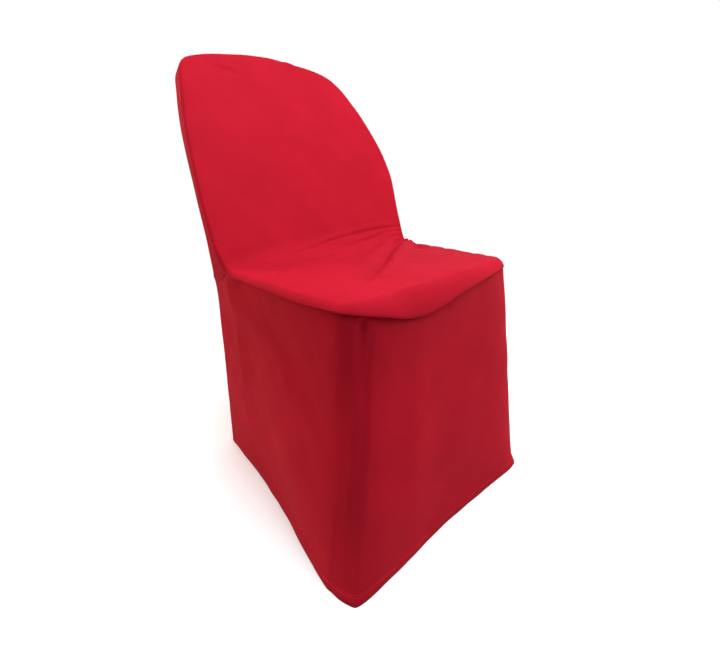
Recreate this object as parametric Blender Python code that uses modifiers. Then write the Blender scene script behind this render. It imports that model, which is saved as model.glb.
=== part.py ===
"""Stretch cover for a folding chair, in the shape that it takes when it is pulled over the chair.

The chair itself is not modelled. The cover is hollow and open at the floor.
Lengths are metres, +Z is up and the seat faces -Y. The near side is -X and the far side is +X.
Shapes are worked out with the floor at height zero. The root empty then moves them, so that the
origin lies under the cloth at the top of the back, where the chair bears it.
"""

import math

import bpy
import numpy as np

# Cloth and seams
CLOTH = 0.002
SEAM_GAP = 0.0009
# Drop of the skirt's edge below the rear panel at the foot of the back
REAR_SEAM_GAP = 0.0016
HEM_HEIGHT = 0.0008

# Chair that the cover is stretched over
SEAT_TOP = 0.445
BACK_FOOT_Y = 0.0695
BACK_LEAN = math.radians(26.4)
BEARING_POINT = (0.0, 0.2715, 0.8225)

# Width of the soft bend where the back meets the seat, at the middle and at the sides
BEND_MIDDLE = 0.046
BEND_SIDE = 0.018
BEND_HALF_WIDTH = 0.215

# Rise of the seat and of the back towards their middle
SEAT_CROWN = 0.005
BACK_CROWN = 0.003

# Outline of the front panel laid flat. "along" is measured up the back from the line where back and
# seat meet, and is negative on the seat. "across" is the distance from the middle. "roll" and "drop"
# are how far the cloth turns outwards and then inwards round the edge, down to its seam.
NEAR_EDGE = (
    # along, across, roll, drop
    (0.4310, 0.000, 0.005, 0.005),
    (0.4285, 0.042, 0.005, 0.005),
    (0.4228, 0.083, 0.005, 0.005),
    (0.4160, 0.123, 0.005, 0.005),
    (0.4085, 0.151, 0.005, 0.005),
    (0.3980, 0.174, 0.005, 0.005),
    (0.3800, 0.187, 0.005, 0.005),
    (0.3450, 0.195, 0.005, 0.005),
    (0.3050, 0.2025, 0.005, 0.005),
    (0.2570, 0.210, 0.005, 0.005),
    (0.1970, 0.216, 0.005, 0.005),
    (0.1320, 0.221, 0.005, 0.005),
    (0.0820, 0.223, 0.005, 0.005),
    (0.0370, 0.222, 0.005, 0.005),
    (0.0000, 0.217, 0.006, 0.008),
    (-0.0350, 0.212, 0.008, 0.011),
    (-0.1050, 0.208, 0.008, 0.012),
    (-0.1870, 0.204, 0.009, 0.014),
    (-0.2480, 0.197, 0.011, 0.013),
    (-0.2750, 0.190, 0.013, 0.014),
    (-0.2910, 0.177, 0.015, 0.016),
    (-0.3020, 0.157, 0.018, 0.021),
    (-0.3085, 0.128, 0.020, 0.029),
    (-0.3105, 0.090, 0.022, 0.039),
    (-0.3110, 0.065, 0.022, 0.042),
    (-0.3110, 0.023, 0.022, 0.037),
)
FAR_EDGE = (
    # along, across, roll, drop
    (0.4265, 0.048, 0.005, 0.005),
    (0.4205, 0.096, 0.005, 0.005),
    (0.4130, 0.126, 0.005, 0.005),
    (0.3985, 0.151, 0.005, 0.005),
    (0.3780, 0.170, 0.005, 0.005),
    (0.3420, 0.191, 0.005, 0.005),
    (0.3050, 0.209, 0.005, 0.005),
    (0.2540, 0.226, 0.005, 0.005),
    (0.2000, 0.235, 0.005, 0.005),
    (0.1650, 0.236, 0.005, 0.005),
    (0.1240, 0.229, 0.005, 0.005),
    (0.0730, 0.220, 0.005, 0.005),
    (0.0230, 0.212, 0.005, 0.005),
    (0.0000, 0.210, 0.006, 0.008),
    (-0.0350, 0.209, 0.008, 0.011),
    (-0.1050, 0.207, 0.008, 0.012),
    (-0.1870, 0.204, 0.009, 0.014),
    (-0.2400, 0.203, 0.010, 0.013),
    (-0.2660, 0.198, 0.011, 0.014),
    (-0.2830, 0.181, 0.014, 0.015),
    (-0.2900, 0.155, 0.017, 0.017),
    (-0.3005, 0.098, 0.020, 0.021),
    (-0.3085, 0.025, 0.022, 0.028),
)
NEAR_SHOULDER_ROW = 5
NEAR_CORNER_ROW = 20
FAR_SHOULDER_ROW = 3
FAR_CORNER_ROW = 19

# Creases of the front panel laid flat: each runs through its points, as (across, along), and sinks by
# "depth" or stands up where depth is negative. It fades towards its last point.
CREASES = (
    # depth, width, points
    (0.0050, 0.009, ((0.215, 0.038), (0.129, 0.039), (0.061, 0.036), (-0.017, 0.025), (-0.100, 0.016))),
    (-0.0045, 0.010, ((0.210, 0.031), (0.130, 0.028), (0.061, 0.023), (-0.020, 0.012))),
    (0.0040, 0.009, ((0.210, 0.026), (0.152, 0.018), (0.114, 0.012), (0.027, 0.002))),
    (0.0055, 0.017, ((0.210, 0.010), (0.150, -0.014), (0.075, -0.066), (-0.029, -0.147), (-0.125, -0.222))),
    (-0.0035, 0.018, ((0.190, -0.020), (0.120, -0.062), (0.050, -0.115))),
    (0.0030, 0.014, ((0.200, -0.042), (0.139, -0.148))),
    (0.0020, 0.012, ((0.015, -0.022), (-0.060, -0.032))),
    (-0.0065, 0.014, ((0.214, -0.002), (0.203, -0.024))),
    (-0.0040, 0.022, ((0.206, -0.105), (0.150, -0.110))),
)
CREASE_FADE = 0.25

# Depth of the pocket for the chair's back, at heights along the back
POCKET_ROWS = (
    (0.431, 0.030),
    (0.370, 0.034),
    (0.305, 0.034),
    (0.220, 0.027),
    (0.130, 0.023),
    (0.060, 0.031),
)

# Middle line of the rear panel under the back, from seat height to the floor, as (height, y)
REAR_LINE = (
    (0.440, 0.131),
    (0.415, 0.143),
    (0.390, 0.152),
    (0.330, 0.166),
    (0.240, 0.187),
    (0.140, 0.213),
    (0.030, 0.253),
    (0.000, 0.261),
)
REAR_BRIDGE = 0.018
REAR_BRIDGE_HEIGHT = 0.445
REAR_BRIDGE_REACH = 0.075
REAR_ROUNDING = 0.008

# Below this height the rear panel's edge turns forwards level instead of square to the back
UPRIGHT_FROM = 0.46
UPRIGHT_FADE = 0.06

# Upright edges of the rear panel from the foot of the back to the floor. The rear face ends at
# "height" and "corner", its half width, and the seam to the skirt is at (seam_x, seam_y, seam_z).
REAR_EDGE = (
    # height, corner, seam_x, seam_y, seam_z
    (0.4200, 0.2100, 0.2135, 0.1000, 0.4270),
    (0.4050, 0.2075, 0.2095, 0.1280, 0.4120),
    (0.3850, 0.2055, 0.2065, 0.1400, 0.3880),
    (0.3300, 0.2030, 0.2040, 0.1530, 0.3300),
    (0.2400, 0.1980, 0.1990, 0.1740, 0.2400),
    (0.1400, 0.1920, 0.1930, 0.2000, 0.1400),
    (0.0300, 0.1810, 0.1825, 0.2400, 0.0300),
    (0.0008, 0.1795, 0.1810, 0.2480, 0.0008),
)
SKIRT_TOP_REAR_ROW = 2

# Hem of the skirt on the floor, as (x, y), from the near rear foot round the front to the far one
HEM = (
    (-0.1810, 0.2480),
    (-0.1840, 0.1900),
    (-0.1900, 0.0800),
    (-0.2005, -0.0100),
    (-0.2145, -0.1000),
    (-0.2275, -0.1830),
    (-0.2245, -0.2180),
    (-0.2150, -0.2430),
    (-0.1920, -0.2480),
    (-0.1300, -0.2480),
    (-0.0400, -0.2445),
    (0.0670, -0.2465),
    (0.1600, -0.2530),
    (0.2000, -0.2540),
    (0.2190, -0.2490),
    (0.2255, -0.2300),
    (0.2220, -0.1800),
    (0.2130, -0.1000),
    (0.2020, -0.0100),
    (0.1920, 0.0800),
    (0.1850, 0.1900),
    (0.1810, 0.2480),
)
HEM_NEAR_CORNER_ROW = 7
HEM_FAR_CORNER_ROW = 14

# Inward draw of the skirt under the seat, by place along the band from the near rear edge (0) to the
# far one (1). It is deepest this share of the skirt's length below the seam.
UNDERCUT = (
    (0.00, 0.002),
    (0.20, 0.005),
    (0.346, 0.006),
    (0.45, 0.011),
    (0.55, 0.007),
    (0.63, 0.000),
    (0.70, 0.000),
    (0.85, 0.004),
    (1.00, 0.002),
)
UNDERCUT_DEPTH = 0.10
UNDERCUT_END = 0.75
UNDERCUT_EASE = 0.6

# Outward kick of the hem at the front feet, over this last share of the skirt's length
FOOT_KICK = 0.006
FOOT_KICK_SHARE = 0.055
FOOT_KICK_WIDTH = 0.035

# Soft upright waves of the skirt: height of the wave, its width along the band, its place there at
# the top, and how far it drifts towards the far end on its way down
SKIRT_WAVES = (
    # height, width, place, drift
    (0.0050, 0.050, 0.10, 0.17),
    (-0.0030, 0.025, 0.335, 0.02),
    (0.0025, 0.022, 0.43, 0.00),
    (-0.0025, 0.035, 0.50, -0.01),
    (0.0035, 0.060, 0.86, -0.08),
)
WAVE_TOP_FADE = 0.15
WAVE_HEM_FADE = 0.20

# The skirt has no waves over this share of the band at its ends, and follows the bow of the rear
# panel's edges over the longer share
HELD_SHARE = 0.06
BOW_SHARE = 0.30

# Foot pockets: patches under the corners of the hem
SOLE_REACH = 0.062
SOLE_CLEARANCE = 0.001

# Mesh steps
OUTLINE_STEPS = 16
FRONT_COLUMNS = 22
COLUMN_CROWDING = 0.30
REAR_COLUMNS = 12
ROWS_PER_REAR_SPAN = 2
ROLL_STEPS = 3
# Rows of the front panel from the shoulders to the foot of the back, and from there to the seat's
# front corners: the end of each stretch as a share of that edge, and its number of rows
BACK_STRETCHES = ((0.00, 0), (0.80, 10), (1.00, 9))
SEAT_STRETCHES = ((0.00, 0), (0.12, 4), (0.72, 8), (1.00, 6))
# Share of the front panel's rows that bow with the crown of the back, and with the seat's front edge
CROWN_SHARE = 0.35
LIP_SHARE = 0.28
REAR_CROWN_SHARE = 0.22
SKIRT_ROW_SHARES = (0.0, 0.015, 0.045, 0.08, 0.12, 0.18, 0.28, 0.41, 0.54, 0.67, 0.80, 0.92, 0.96, 1.0)

CLOTH_COLOUR = (0.69, 0.018, 0.046, 1.0)
CLOTH_ROUGHNESS = 0.78


def clear_scene():
    """Removes what the scene starts with."""
    for obj in list(bpy.data.objects):
        bpy.data.objects.remove(obj, do_unlink=True)


def smooth_rows(rows, closed=False, spaced_by=2, steps=OUTLINE_STEPS):
    """Centripetal Catmull-Rom curve through the rows, whose first spaced_by columns are its position."""
    rows = np.array(rows, float)
    if closed:
        padded = np.vstack([rows[-1:], rows, rows[:2]])
    else:
        padded = np.vstack([2 * rows[0] - rows[1], rows, 2 * rows[-1] - rows[-2]])
    share = np.linspace(0, 1, steps, endpoint=False)[:, None]
    spans = []
    for a, b, c, d in zip(padded, padded[1:], padded[2:], padded[3:]):
        gaps = [math.sqrt(math.dist(*pair)) for pair in (
            (a[:spaced_by], b[:spaced_by]), (b[:spaced_by], c[:spaced_by]), (c[:spaced_by], d[:spaced_by]))]
        slope_b = gaps[1] * ((b - a) / gaps[0] - (c - a) / (gaps[0] + gaps[1]) + (c - b) / gaps[1])
        slope_c = gaps[1] * ((c - b) / gaps[1] - (d - b) / (gaps[1] + gaps[2]) + (d - c) / gaps[2])
        spans.append(
            (2 * share**3 - 3 * share**2 + 1) * b
            + (share**3 - 2 * share**2 + share) * slope_b
            + (-2 * share**3 + 3 * share**2) * c
            + (share**3 - share**2) * slope_c
        )
    return np.vstack(spans) if closed else np.vstack(spans + [rows[-1:]])


def at(curve, column, values):
    """Every column of the curve where one column takes these values."""
    order = np.argsort(curve[:, column])
    known = curve[order, column]
    return np.stack([np.interp(values, known, curve[order, k]) for k in range(curve.shape[1])], axis=-1)


def spread(curve, shares, columns=3):
    """The curve at these shares of its length."""
    lengths = np.linalg.norm(np.diff(curve[:, :columns], axis=0), axis=1)
    travelled = np.concatenate([[0], np.cumsum(lengths)])
    wanted = travelled[-1] * shares
    return np.stack([np.interp(wanted, travelled, curve[:, k]) for k in range(curve.shape[1])], axis=-1)


def soft_step(value):
    """Goes from 0 to 1 as value does, flat at both ends."""
    value = np.clip(value, 0, 1)
    return value * value * (3 - 2 * value)


def crease_depth(across, along):
    """How far the creases push the front panel in at each point of the flat cloth."""
    depth = np.zeros(np.shape(across))
    here = np.stack(np.broadcast_arrays(across, along), axis=-1)
    for deep, width, corners in CREASES:
        line = smooth_rows(corners)
        lengths = np.linalg.norm(np.diff(line, axis=0), axis=1)
        place = np.concatenate([[0], np.cumsum(lengths)]) / lengths.sum()
        apart = np.linalg.norm(here[..., None, :] - line, axis=-1)
        nearest = place[apart.argmin(axis=-1)]
        fade = soft_step((1 - nearest) / CREASE_FADE)
        depth += deep * fade * np.exp(-((apart.min(axis=-1) / width) ** 2))
    return depth


def front_surface(across, along):
    """The front panel's outer face at points of the flat cloth, with its direction up and its normal."""
    across, along = np.broadcast_arrays(np.asarray(across, float), np.asarray(along, float))
    sideways = np.clip(np.abs(across) / BEND_HALF_WIDTH, 0, 1)
    bend = BEND_MIDDLE + (BEND_SIDE - BEND_MIDDLE) * sideways**2
    held = np.clip(along, -bend, bend)
    up_share = (held + bend) ** 2 / (4 * bend) + np.maximum(along - bend, 0)
    out_share = (bend - held) ** 2 / (4 * bend) + np.maximum(-along - bend, 0)
    turn = (held + bend) / (2 * bend)
    y = BACK_FOOT_Y + up_share * math.sin(BACK_LEAN) - out_share
    z = SEAT_TOP + up_share * math.cos(BACK_LEAN)
    upward_y = turn * math.sin(BACK_LEAN) + (1 - turn)
    upward_z = turn * math.cos(BACK_LEAN)
    upward = np.stack([np.zeros_like(y), upward_y, upward_z], -1)
    upward /= np.linalg.norm(upward, axis=-1, keepdims=True)
    normal = np.cross([1.0, 0.0, 0.0], upward)
    crown = (SEAT_CROWN * (1 - turn) + BACK_CROWN * turn) * (1 - sideways**4)
    lift = crown - crease_depth(across, along)
    return np.stack([across, y, z], -1) + normal * lift[..., None], upward, normal


def front_edge():
    """The flat outline of the front panel: across, along, roll, drop, and the direction out of it."""
    near = [(-across, along, roll, drop) for along, across, roll, drop in NEAR_EDGE]
    far = [(across, along, roll, drop) for along, across, roll, drop in reversed(FAR_EDGE)]
    loop = smooth_rows(near + far, closed=True)
    ahead = np.roll(loop[:, :2], -1, axis=0) - np.roll(loop[:, :2], 1, axis=0)
    outward = np.stack([ahead[:, 1], -ahead[:, 0]], axis=-1)
    outward /= np.linalg.norm(outward, axis=1, keepdims=True)
    return np.hstack([loop, outward])


def split_edge(loop):
    """The outline cut at the shoulders and the seat's front corners: crown, near, front and far stretch."""
    rows = len(NEAR_EDGE) + len(FAR_EDGE)
    near_shoulder = NEAR_SHOULDER_ROW * OUTLINE_STEPS
    near_corner = NEAR_CORNER_ROW * OUTLINE_STEPS
    far_corner = (rows - 1 - FAR_CORNER_ROW) * OUTLINE_STEPS
    far_shoulder = (rows - 1 - FAR_SHOULDER_ROW) * OUTLINE_STEPS
    crown = np.vstack([loop[far_shoulder:], loop[: near_shoulder + 1]])
    return (
        crown,
        loop[near_shoulder : near_corner + 1],
        loop[near_corner : far_corner + 1],
        loop[far_corner : far_shoulder + 1],
    )


def crest_line(outline):
    """The line inside the outline where the cloth starts to turn over the edge."""
    crest = outline.copy()
    crest[:, :2] -= crest[:, 2:3] * crest[:, 4:6]
    return crest


def turned_over(crest, turned):
    """The cloth at this angle of its turn round the edge, a quarter turn at its seam."""
    point, upward, normal = front_surface(crest[:, 0], crest[:, 1])
    outward = crest[:, 4:5] * np.array([1.0, 0.0, 0.0]) + crest[:, 5:6] * upward
    level = outward * crest[:, 2:3] * math.sin(turned)
    return point + level - normal * crest[:, 3:4] * (1 - math.cos(turned)), normal


def row_shares(stretches):
    shares = [0.0]
    for (start, _), (end, count) in zip(stretches, stretches[1:]):
        shares += list(np.linspace(start, end, count + 1)[1:])
    return np.array(shares)


def crowded(steps, crowding):
    """Shares from 0 to 1 that lie closer together towards both ends."""
    share = np.linspace(0, 1, steps + 1)
    return share - crowding * np.sin(2 * math.pi * share) / (2 * math.pi)


def border_of(rows, columns):
    """Grid places round the edge: the top, down the far side, back along the bottom, up the near side."""
    top = [(0, i) for i in range(columns + 1)]
    far = [(j, columns) for j in range(1, rows + 1)]
    bottom = [(rows, i) for i in range(columns - 1, -1, -1)]
    near = [(j, 0) for j in range(rows - 1, 0, -1)]
    return top, far, bottom, near


def sheet_object(name, grid, border, rings, closed, inside_out, material):
    """A cloth sheet: the grid, continued past its border by the rings, thickened inwards."""
    rows, columns = grid.shape[:2]
    points = [tuple(p) for p in grid.reshape(-1, 3)]
    inner = [j * columns + i for j, i in border]
    faces = []
    for j in range(rows - 1):
        for i in range(columns - 1):
            corner = j * columns + i
            faces.append((corner, corner + columns, corner + columns + 1, corner + 1))
    for ring in rings:
        outer = list(range(len(points), len(points) + len(ring)))
        points += [tuple(p) for p in ring]
        count = len(inner)
        for k in range(count if closed else count - 1):
            following = (k + 1) % count
            faces.append((inner[k], inner[following], outer[following], outer[k]))
        inner = outer
    if inside_out:
        faces = [face[::-1] for face in faces]
    mesh = bpy.data.meshes.new(name)
    mesh.from_pydata(points, [], faces)
    mesh.shade_smooth()
    mesh.materials.append(material)
    obj = bpy.data.objects.new(name, mesh)
    shell = obj.modifiers.new("cloth thickness", "SOLIDIFY")
    shell.thickness = CLOTH
    shell.offset = -1.0
    shell.use_even_offset = True
    return obj


def side_rows(side, shoulder, corner):
    """Ends of the front panel's rows on one side, one of them at the foot of the back."""
    back = shoulder * (1 - row_shares(BACK_STRETCHES))
    seat = corner * row_shares(SEAT_STRETCHES)
    return at(side, 1, np.concatenate([back, seat[1:]]))


def front_rows(outline):
    """Ends of the front panel's grid lines: along the crown, the far side, the front and the near side."""
    crown, near, front, far = split_edge(crest_line(outline))
    near_rows = side_rows(near, near[0, 1], near[-1, 1])
    far_rows = side_rows(far, far[-1, 1], far[0, 1])
    across_share = crowded(FRONT_COLUMNS, COLUMN_CROWDING)
    crown_row = at(crown, 0, near_rows[0, 0] + (far_rows[0, 0] - near_rows[0, 0]) * across_share)
    front_row = at(front, 0, near_rows[-1, 0] + (far_rows[-1, 0] - near_rows[-1, 0]) * across_share)
    return crown_row, far_rows, front_row, near_rows


def make_front_panel(outline, material):
    """Front face of the back and seat top in one, rolled over the edge to its seam all round."""
    crown_row, far_rows, front_row, near_rows = front_rows(outline)
    shares = (near_rows[0, 1] - near_rows[:, 1]) / (near_rows[0, 1] - near_rows[-1, 1])
    across_share = crowded(FRONT_COLUMNS, COLUMN_CROWDING)
    flat = near_rows[:, None, :2] + (far_rows - near_rows)[:, None, :2] * across_share[None, :, None]
    crown_rise = crown_row[:, 1] - flat[0, :, 1]
    front_rise = front_row[:, 1] - flat[-1, :, 1]
    flat[:, :, 1] += np.outer(soft_step(1 - shares / CROWN_SHARE), crown_rise)
    flat[:, :, 1] += np.outer(soft_step(1 - (1 - shares) / LIP_SHARE), front_rise)
    grid = front_surface(flat[..., 0], flat[..., 1])[0]
    places = border_of(len(shares) - 1, FRONT_COLUMNS)
    edge = np.vstack([crown_row, far_rows[1:], front_row[-2::-1], near_rows[-2:0:-1]])
    rings = [turned_over(edge, math.pi / 2 * step / ROLL_STEPS)[0] for step in range(1, ROLL_STEPS + 1)]
    return sheet_object("front_panel", grid, sum(places, []), rings, True, False, material)


def rear_line():
    """The rear panel's middle line as a dense curve of (height, y), from the crown to the floor."""
    line = []
    for along, deep in POCKET_ROWS:
        height = SEAT_TOP + along * math.cos(BACK_LEAN) - deep * math.sin(BACK_LEAN)
        y = BACK_FOOT_Y + along * math.sin(BACK_LEAN) + deep * math.cos(BACK_LEAN)
        line.append((height, y))
    return smooth_rows(line + list(REAR_LINE))


def rear_surface(x, height):
    """The rear panel's outer face, which bridges the hollow at the foot of the back."""
    line = rear_line()
    y = at(line, 0, height)[..., 1]
    near_middle = 1 - np.clip(np.abs(x) / BEND_HALF_WIDTH, 0, 1) ** 2
    bridge = REAR_BRIDGE * np.exp(-(((height - REAR_BRIDGE_HEIGHT) / REAR_BRIDGE_REACH) ** 2))
    return np.stack([x, y + bridge * near_middle, height], axis=-1)


def rear_height(along):
    """Height of the rear face behind this place along the back."""
    pocket = at(np.array(POCKET_ROWS), 0, along)[..., 1]
    return SEAT_TOP + along * math.cos(BACK_LEAN) - pocket * math.sin(BACK_LEAN)


def rear_side(rows):
    """One side of the rear panel, row by row: height, half width of its rear face, and its seam.

    Its upper rows are level with the front panel's, down to the foot of the back.
    """
    beside_back = rows[rows[:, 1] >= 0]
    seam, normal = turned_over(beside_back, math.pi / 2)
    seam = seam - normal * SEAM_GAP
    half_width = np.abs(beside_back[:, 0] + beside_back[:, 2] * beside_back[:, 4])
    upper = np.column_stack([rear_height(beside_back[:, 1]), half_width, np.abs(seam[:, 0]), seam[:, 1:]])
    below = smooth_rows(np.vstack([upper[-1:], REAR_EDGE]), spaced_by=5, steps=ROWS_PER_REAR_SPAN)
    return np.vstack([upper, below[1:]])


def skirt_seam(rear_rows):
    """The stretch of the rear panel's seam that the skirt hangs from, from the foot of the back down."""
    last = len(rear_rows) - (len(REAR_EDGE) - 1 - SKIRT_TOP_REAR_ROW) * ROWS_PER_REAR_SPAN
    return rear_rows[last - (SKIRT_TOP_REAR_ROW + 1) * ROWS_PER_REAR_SPAN : last, 2:5]


def rear_sheet(outline):
    """Rear face from the crown to the floor, wrapped round the back's edge to the seam at its front."""
    _, front_far, _, front_near = front_rows(outline)
    near_rows = rear_side(front_near)
    far_rows = rear_side(front_far)
    rows = len(near_rows) - 1
    share = 1 - near_rows[:, 0] / near_rows[0, 0]
    across = np.linspace(0, 1, REAR_COLUMNS + 1)
    x = -(near_rows[:, 1] - REAR_ROUNDING)[:, None] * (1 - across)
    x = x + (far_rows[:, 1] - REAR_ROUNDING)[:, None] * across
    height = near_rows[:, 0:1] * (1 - across) + far_rows[:, 0:1] * across
    crown = split_edge(outline)[0]
    inside = crown.copy()
    inside[:, :2] -= REAR_ROUNDING * inside[:, 4:6]
    crown_row = at(inside, 0, x[0])
    rise = rear_height(crown_row[:, 1]) - height[0]
    height = height + np.outer(soft_step(1 - share / REAR_CROWN_SHARE), rise)
    grid = rear_surface(x, height)
    crown_seam, crown_normal = turned_over(at(crest_line(crown), 0, crown_row[:, 0]), math.pi / 2)
    crown_seam = crown_seam - crown_normal * SEAM_GAP
    near_seam = near_rows[:, 2:5] * np.array([-1.0, 1.0, 1.0])
    far_seam = far_rows[:, 2:5]
    top, far_places, _, near_places = border_of(rows, REAR_COLUMNS)
    places = [(rows, 0)] + near_places + top + far_places
    edge = np.array([grid[place] for place in places])
    seam = np.vstack([near_seam[::-1], crown_seam[1:-1], far_seam])
    across_to_seam = seam - edge
    lean = np.array([0.0, -math.cos(BACK_LEAN), math.sin(BACK_LEAN)])
    upright = soft_step((UPRIGHT_FROM - edge[:, 2:3]) / UPRIGHT_FADE)
    inward = lean * (1 - upright) + np.array([0.0, -1.0, 0.0]) * upright
    inward /= np.linalg.norm(inward, axis=1, keepdims=True)
    forward = inward * (across_to_seam * inward).sum(axis=1, keepdims=True)
    sideways = across_to_seam - forward
    rounding = forward * np.minimum(1, REAR_ROUNDING / np.linalg.norm(forward, axis=1, keepdims=True))
    rings = []
    for step in range(1, ROLL_STEPS + 1):
        turned = math.pi / 2 * step / ROLL_STEPS
        rings.append(edge + sideways * math.sin(turned) + rounding * (1 - math.cos(turned)))
    rings.append(seam)
    return grid, places, rings


def skirt_top(outline):
    """The skirt's upper edge: the near side with its rear seam, the front, and the far side."""
    _, far_rows, front_row, near_rows = front_rows(outline)
    behind = np.array([0.0, -SEAM_GAP, -REAR_SEAM_GAP])
    below = np.array([0.0, 0.0, -SEAM_GAP])
    mirror = np.array([-1.0, 1.0, 1.0])
    near_seat, front, far_seat = [
        turned_over(rows, math.pi / 2)[0] + below
        for rows in (near_rows[near_rows[:, 1] <= 0], front_row, far_rows[far_rows[:, 1] <= 0])
    ]
    near_seat[0] += behind - below
    far_seat[0] += behind - below
    near_rear = skirt_seam(rear_side(near_rows)) * mirror + behind
    far_rear = skirt_seam(rear_side(far_rows)) + behind
    near = np.vstack([near_rear[::-1], near_seat])
    far = np.vstack([far_seat[::-1], far_rear])
    return near, front, far


def skirt_sheet(outline):
    """One band from the near rear seam round the front to the far rear seam, falling to the hem."""
    hem = smooth_rows([(x, y, HEM_HEIGHT) for x, y in HEM])
    near_foot = HEM_NEAR_CORNER_ROW * OUTLINE_STEPS
    far_foot = HEM_FAR_CORNER_ROW * OUTLINE_STEPS
    upper = []
    lower = []
    hem_parts = (hem[: near_foot + 1], hem[near_foot : far_foot + 1], hem[far_foot:])
    for above, below in zip(skirt_top(outline), hem_parts):
        lengths = np.linalg.norm(np.diff(above, axis=0), axis=1)
        shares = np.concatenate([[0], np.cumsum(lengths)]) / lengths.sum()
        upper.append(above[bool(upper) :])
        lower.append(spread(below, shares)[bool(lower) :])
    upper = np.vstack(upper)
    lower = np.vstack(lower)
    down = np.array(SKIRT_ROW_SHARES)[:, None, None]
    grid = upper * (1 - down) + lower * down
    lengths = np.linalg.norm(np.diff(lower, axis=0), axis=1)
    place = np.concatenate([[0], np.cumsum(lengths)])[None, :] / lengths.sum()
    _, far_rows, _, near_rows = front_rows(outline)
    near_edge = at(rear_side(near_rows)[:, 2:5], 2, grid[:, 0, 2]) * np.array([-1.0, 1.0, 1.0])
    far_edge = at(rear_side(far_rows)[:, 2:5], 2, grid[:, -1, 2])
    for edge, column, from_end in ((near_edge, 0, place), (far_edge, -1, 1 - place)):
        edge[:, 1] -= SEAM_GAP
        grid = grid + (edge - grid[:, column])[:, None] * soft_step(1 - from_end / BOW_SHARE)[..., None]
    ahead = np.gradient(grid, axis=1)
    outward = np.stack([ahead[..., 1], -ahead[..., 0], np.zeros(ahead.shape[:2])], axis=-1)
    outward /= np.linalg.norm(outward, axis=-1, keepdims=True)
    down = down[..., 0]
    draw = np.interp(place, *np.transpose(UNDERCUT))
    held = soft_step(place / HELD_SHARE) * soft_step((1 - place) / HELD_SHARE)
    to_foot = np.minimum(*(np.linalg.norm(lower - hem[foot], axis=1) for foot in (near_foot, far_foot)))
    kick = FOOT_KICK * np.exp(-((to_foot / FOOT_KICK_WIDTH) ** 2))
    shift = -draw * soft_step(down / UNDERCUT_DEPTH) * soft_step((UNDERCUT_END - down) / UNDERCUT_EASE)
    shift = shift - kick * (down - soft_step((down - 1 + FOOT_KICK_SHARE) / FOOT_KICK_SHARE))
    for height, width, start, drift in SKIRT_WAVES:
        middle = start + drift * down
        fade = soft_step(down / WAVE_TOP_FADE) * soft_step((1 - down) / WAVE_HEM_FADE)
        shift = shift + height * fade * np.exp(-(((place - middle) / width) ** 2))
    return grid + outward * (shift * held)[..., None]


def hem_loop(skirt_grid, rear_grid, rear_rings):
    """The whole hem on the floor as a closed line: the skirt's, then the rear panel's."""
    far_turn = [ring[-1] for ring in reversed(rear_rings)]
    near_turn = [ring[0] for ring in rear_rings]
    loop = np.vstack([skirt_grid[-1], far_turn[1:], rear_grid[-1][::-1], near_turn[:-1]])
    return loop[:, :2]


def drawn_in(loop, distance):
    """The closed line moved inwards, each corner to where its two moved sides meet."""
    side = np.roll(loop, -1, axis=0) - loop
    inward = np.stack([-side[:, 1], side[:, 0]], axis=-1)
    inward /= np.linalg.norm(inward, axis=1, keepdims=True)
    before = np.roll(inward, 1, axis=0)
    meeting = before + inward
    return loop + distance * meeting / (1 + (before * inward).sum(axis=1, keepdims=True))


def make_sole(name, loop, corner, material):
    """A flat patch under one corner of the hem, inside the skirt and the rear panel."""
    inside = drawn_in(loop, CLOTH + SOLE_CLEARANCE)
    middle = np.linalg.norm(inside - np.array(corner), axis=1).argmin()
    turned = np.roll(inside, len(inside) // 2 - middle, axis=0)
    part = turned[np.linalg.norm(turned - inside[middle], axis=1) < SOLE_REACH]
    curve = bpy.data.curves.new(name, "CURVE")
    curve.dimensions = "2D"
    curve.fill_mode = "BOTH"
    curve.extrude = CLOTH / 2
    spline = curve.splines.new("POLY")
    spline.points.add(len(part) - 1)
    for point, (x, y) in zip(spline.points, part):
        point.co = (x, y, 0.0, 1.0)
    spline.use_cyclic_u = True
    curve.materials.append(material)
    obj = bpy.data.objects.new(name, curve)
    obj.location.z = CLOTH / 2
    return obj


def cloth_material(name):
    material = bpy.data.materials.new(name)
    material.use_nodes = True
    shader = material.node_tree.nodes["Principled BSDF"]
    shader.inputs["Base Color"].default_value = CLOTH_COLOUR
    shader.inputs["Roughness"].default_value = CLOTH_ROUGHNESS
    shader.inputs["Metallic"].default_value = 0.0
    return material


def main():
    clear_scene()
    parts = bpy.data.collections.new("chair_cover")
    bpy.context.scene.collection.children.link(parts)
    root = bpy.data.objects.new("cover_root", None)
    root.location = [-value for value in BEARING_POINT]
    parts.objects.link(root)
    outline = front_edge()
    rear_grid, rear_border, rear_rings = rear_sheet(outline)
    skirt_grid = skirt_sheet(outline)
    rear_knit = cloth_material("rear_panel_knit")
    skirt_knit = cloth_material("skirt_knit")
    pieces = [
        make_front_panel(outline, cloth_material("front_panel_knit")),
        sheet_object("rear_panel", rear_grid, rear_border, rear_rings, False, True, rear_knit),
        sheet_object("skirt", skirt_grid, [], [], False, False, skirt_knit),
    ]
    hem = hem_loop(skirt_grid, rear_grid, rear_rings)
    rear_foot = (REAR_EDGE[-1][1], REAR_LINE[-1][1])
    for name, corner in (
        ("foot_sole_near_front", HEM[HEM_NEAR_CORNER_ROW]),
        ("foot_sole_far_front", HEM[HEM_FAR_CORNER_ROW]),
        ("foot_sole_near_rear", (-rear_foot[0], rear_foot[1])),
        ("foot_sole_far_rear", rear_foot),
    ):
        pieces.append(make_sole(name, hem, corner, cloth_material(name + "_knit")))
    for piece in pieces:
        parts.objects.link(piece)
        piece.parent = root


if __name__ == "__main__":
    main()
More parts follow.
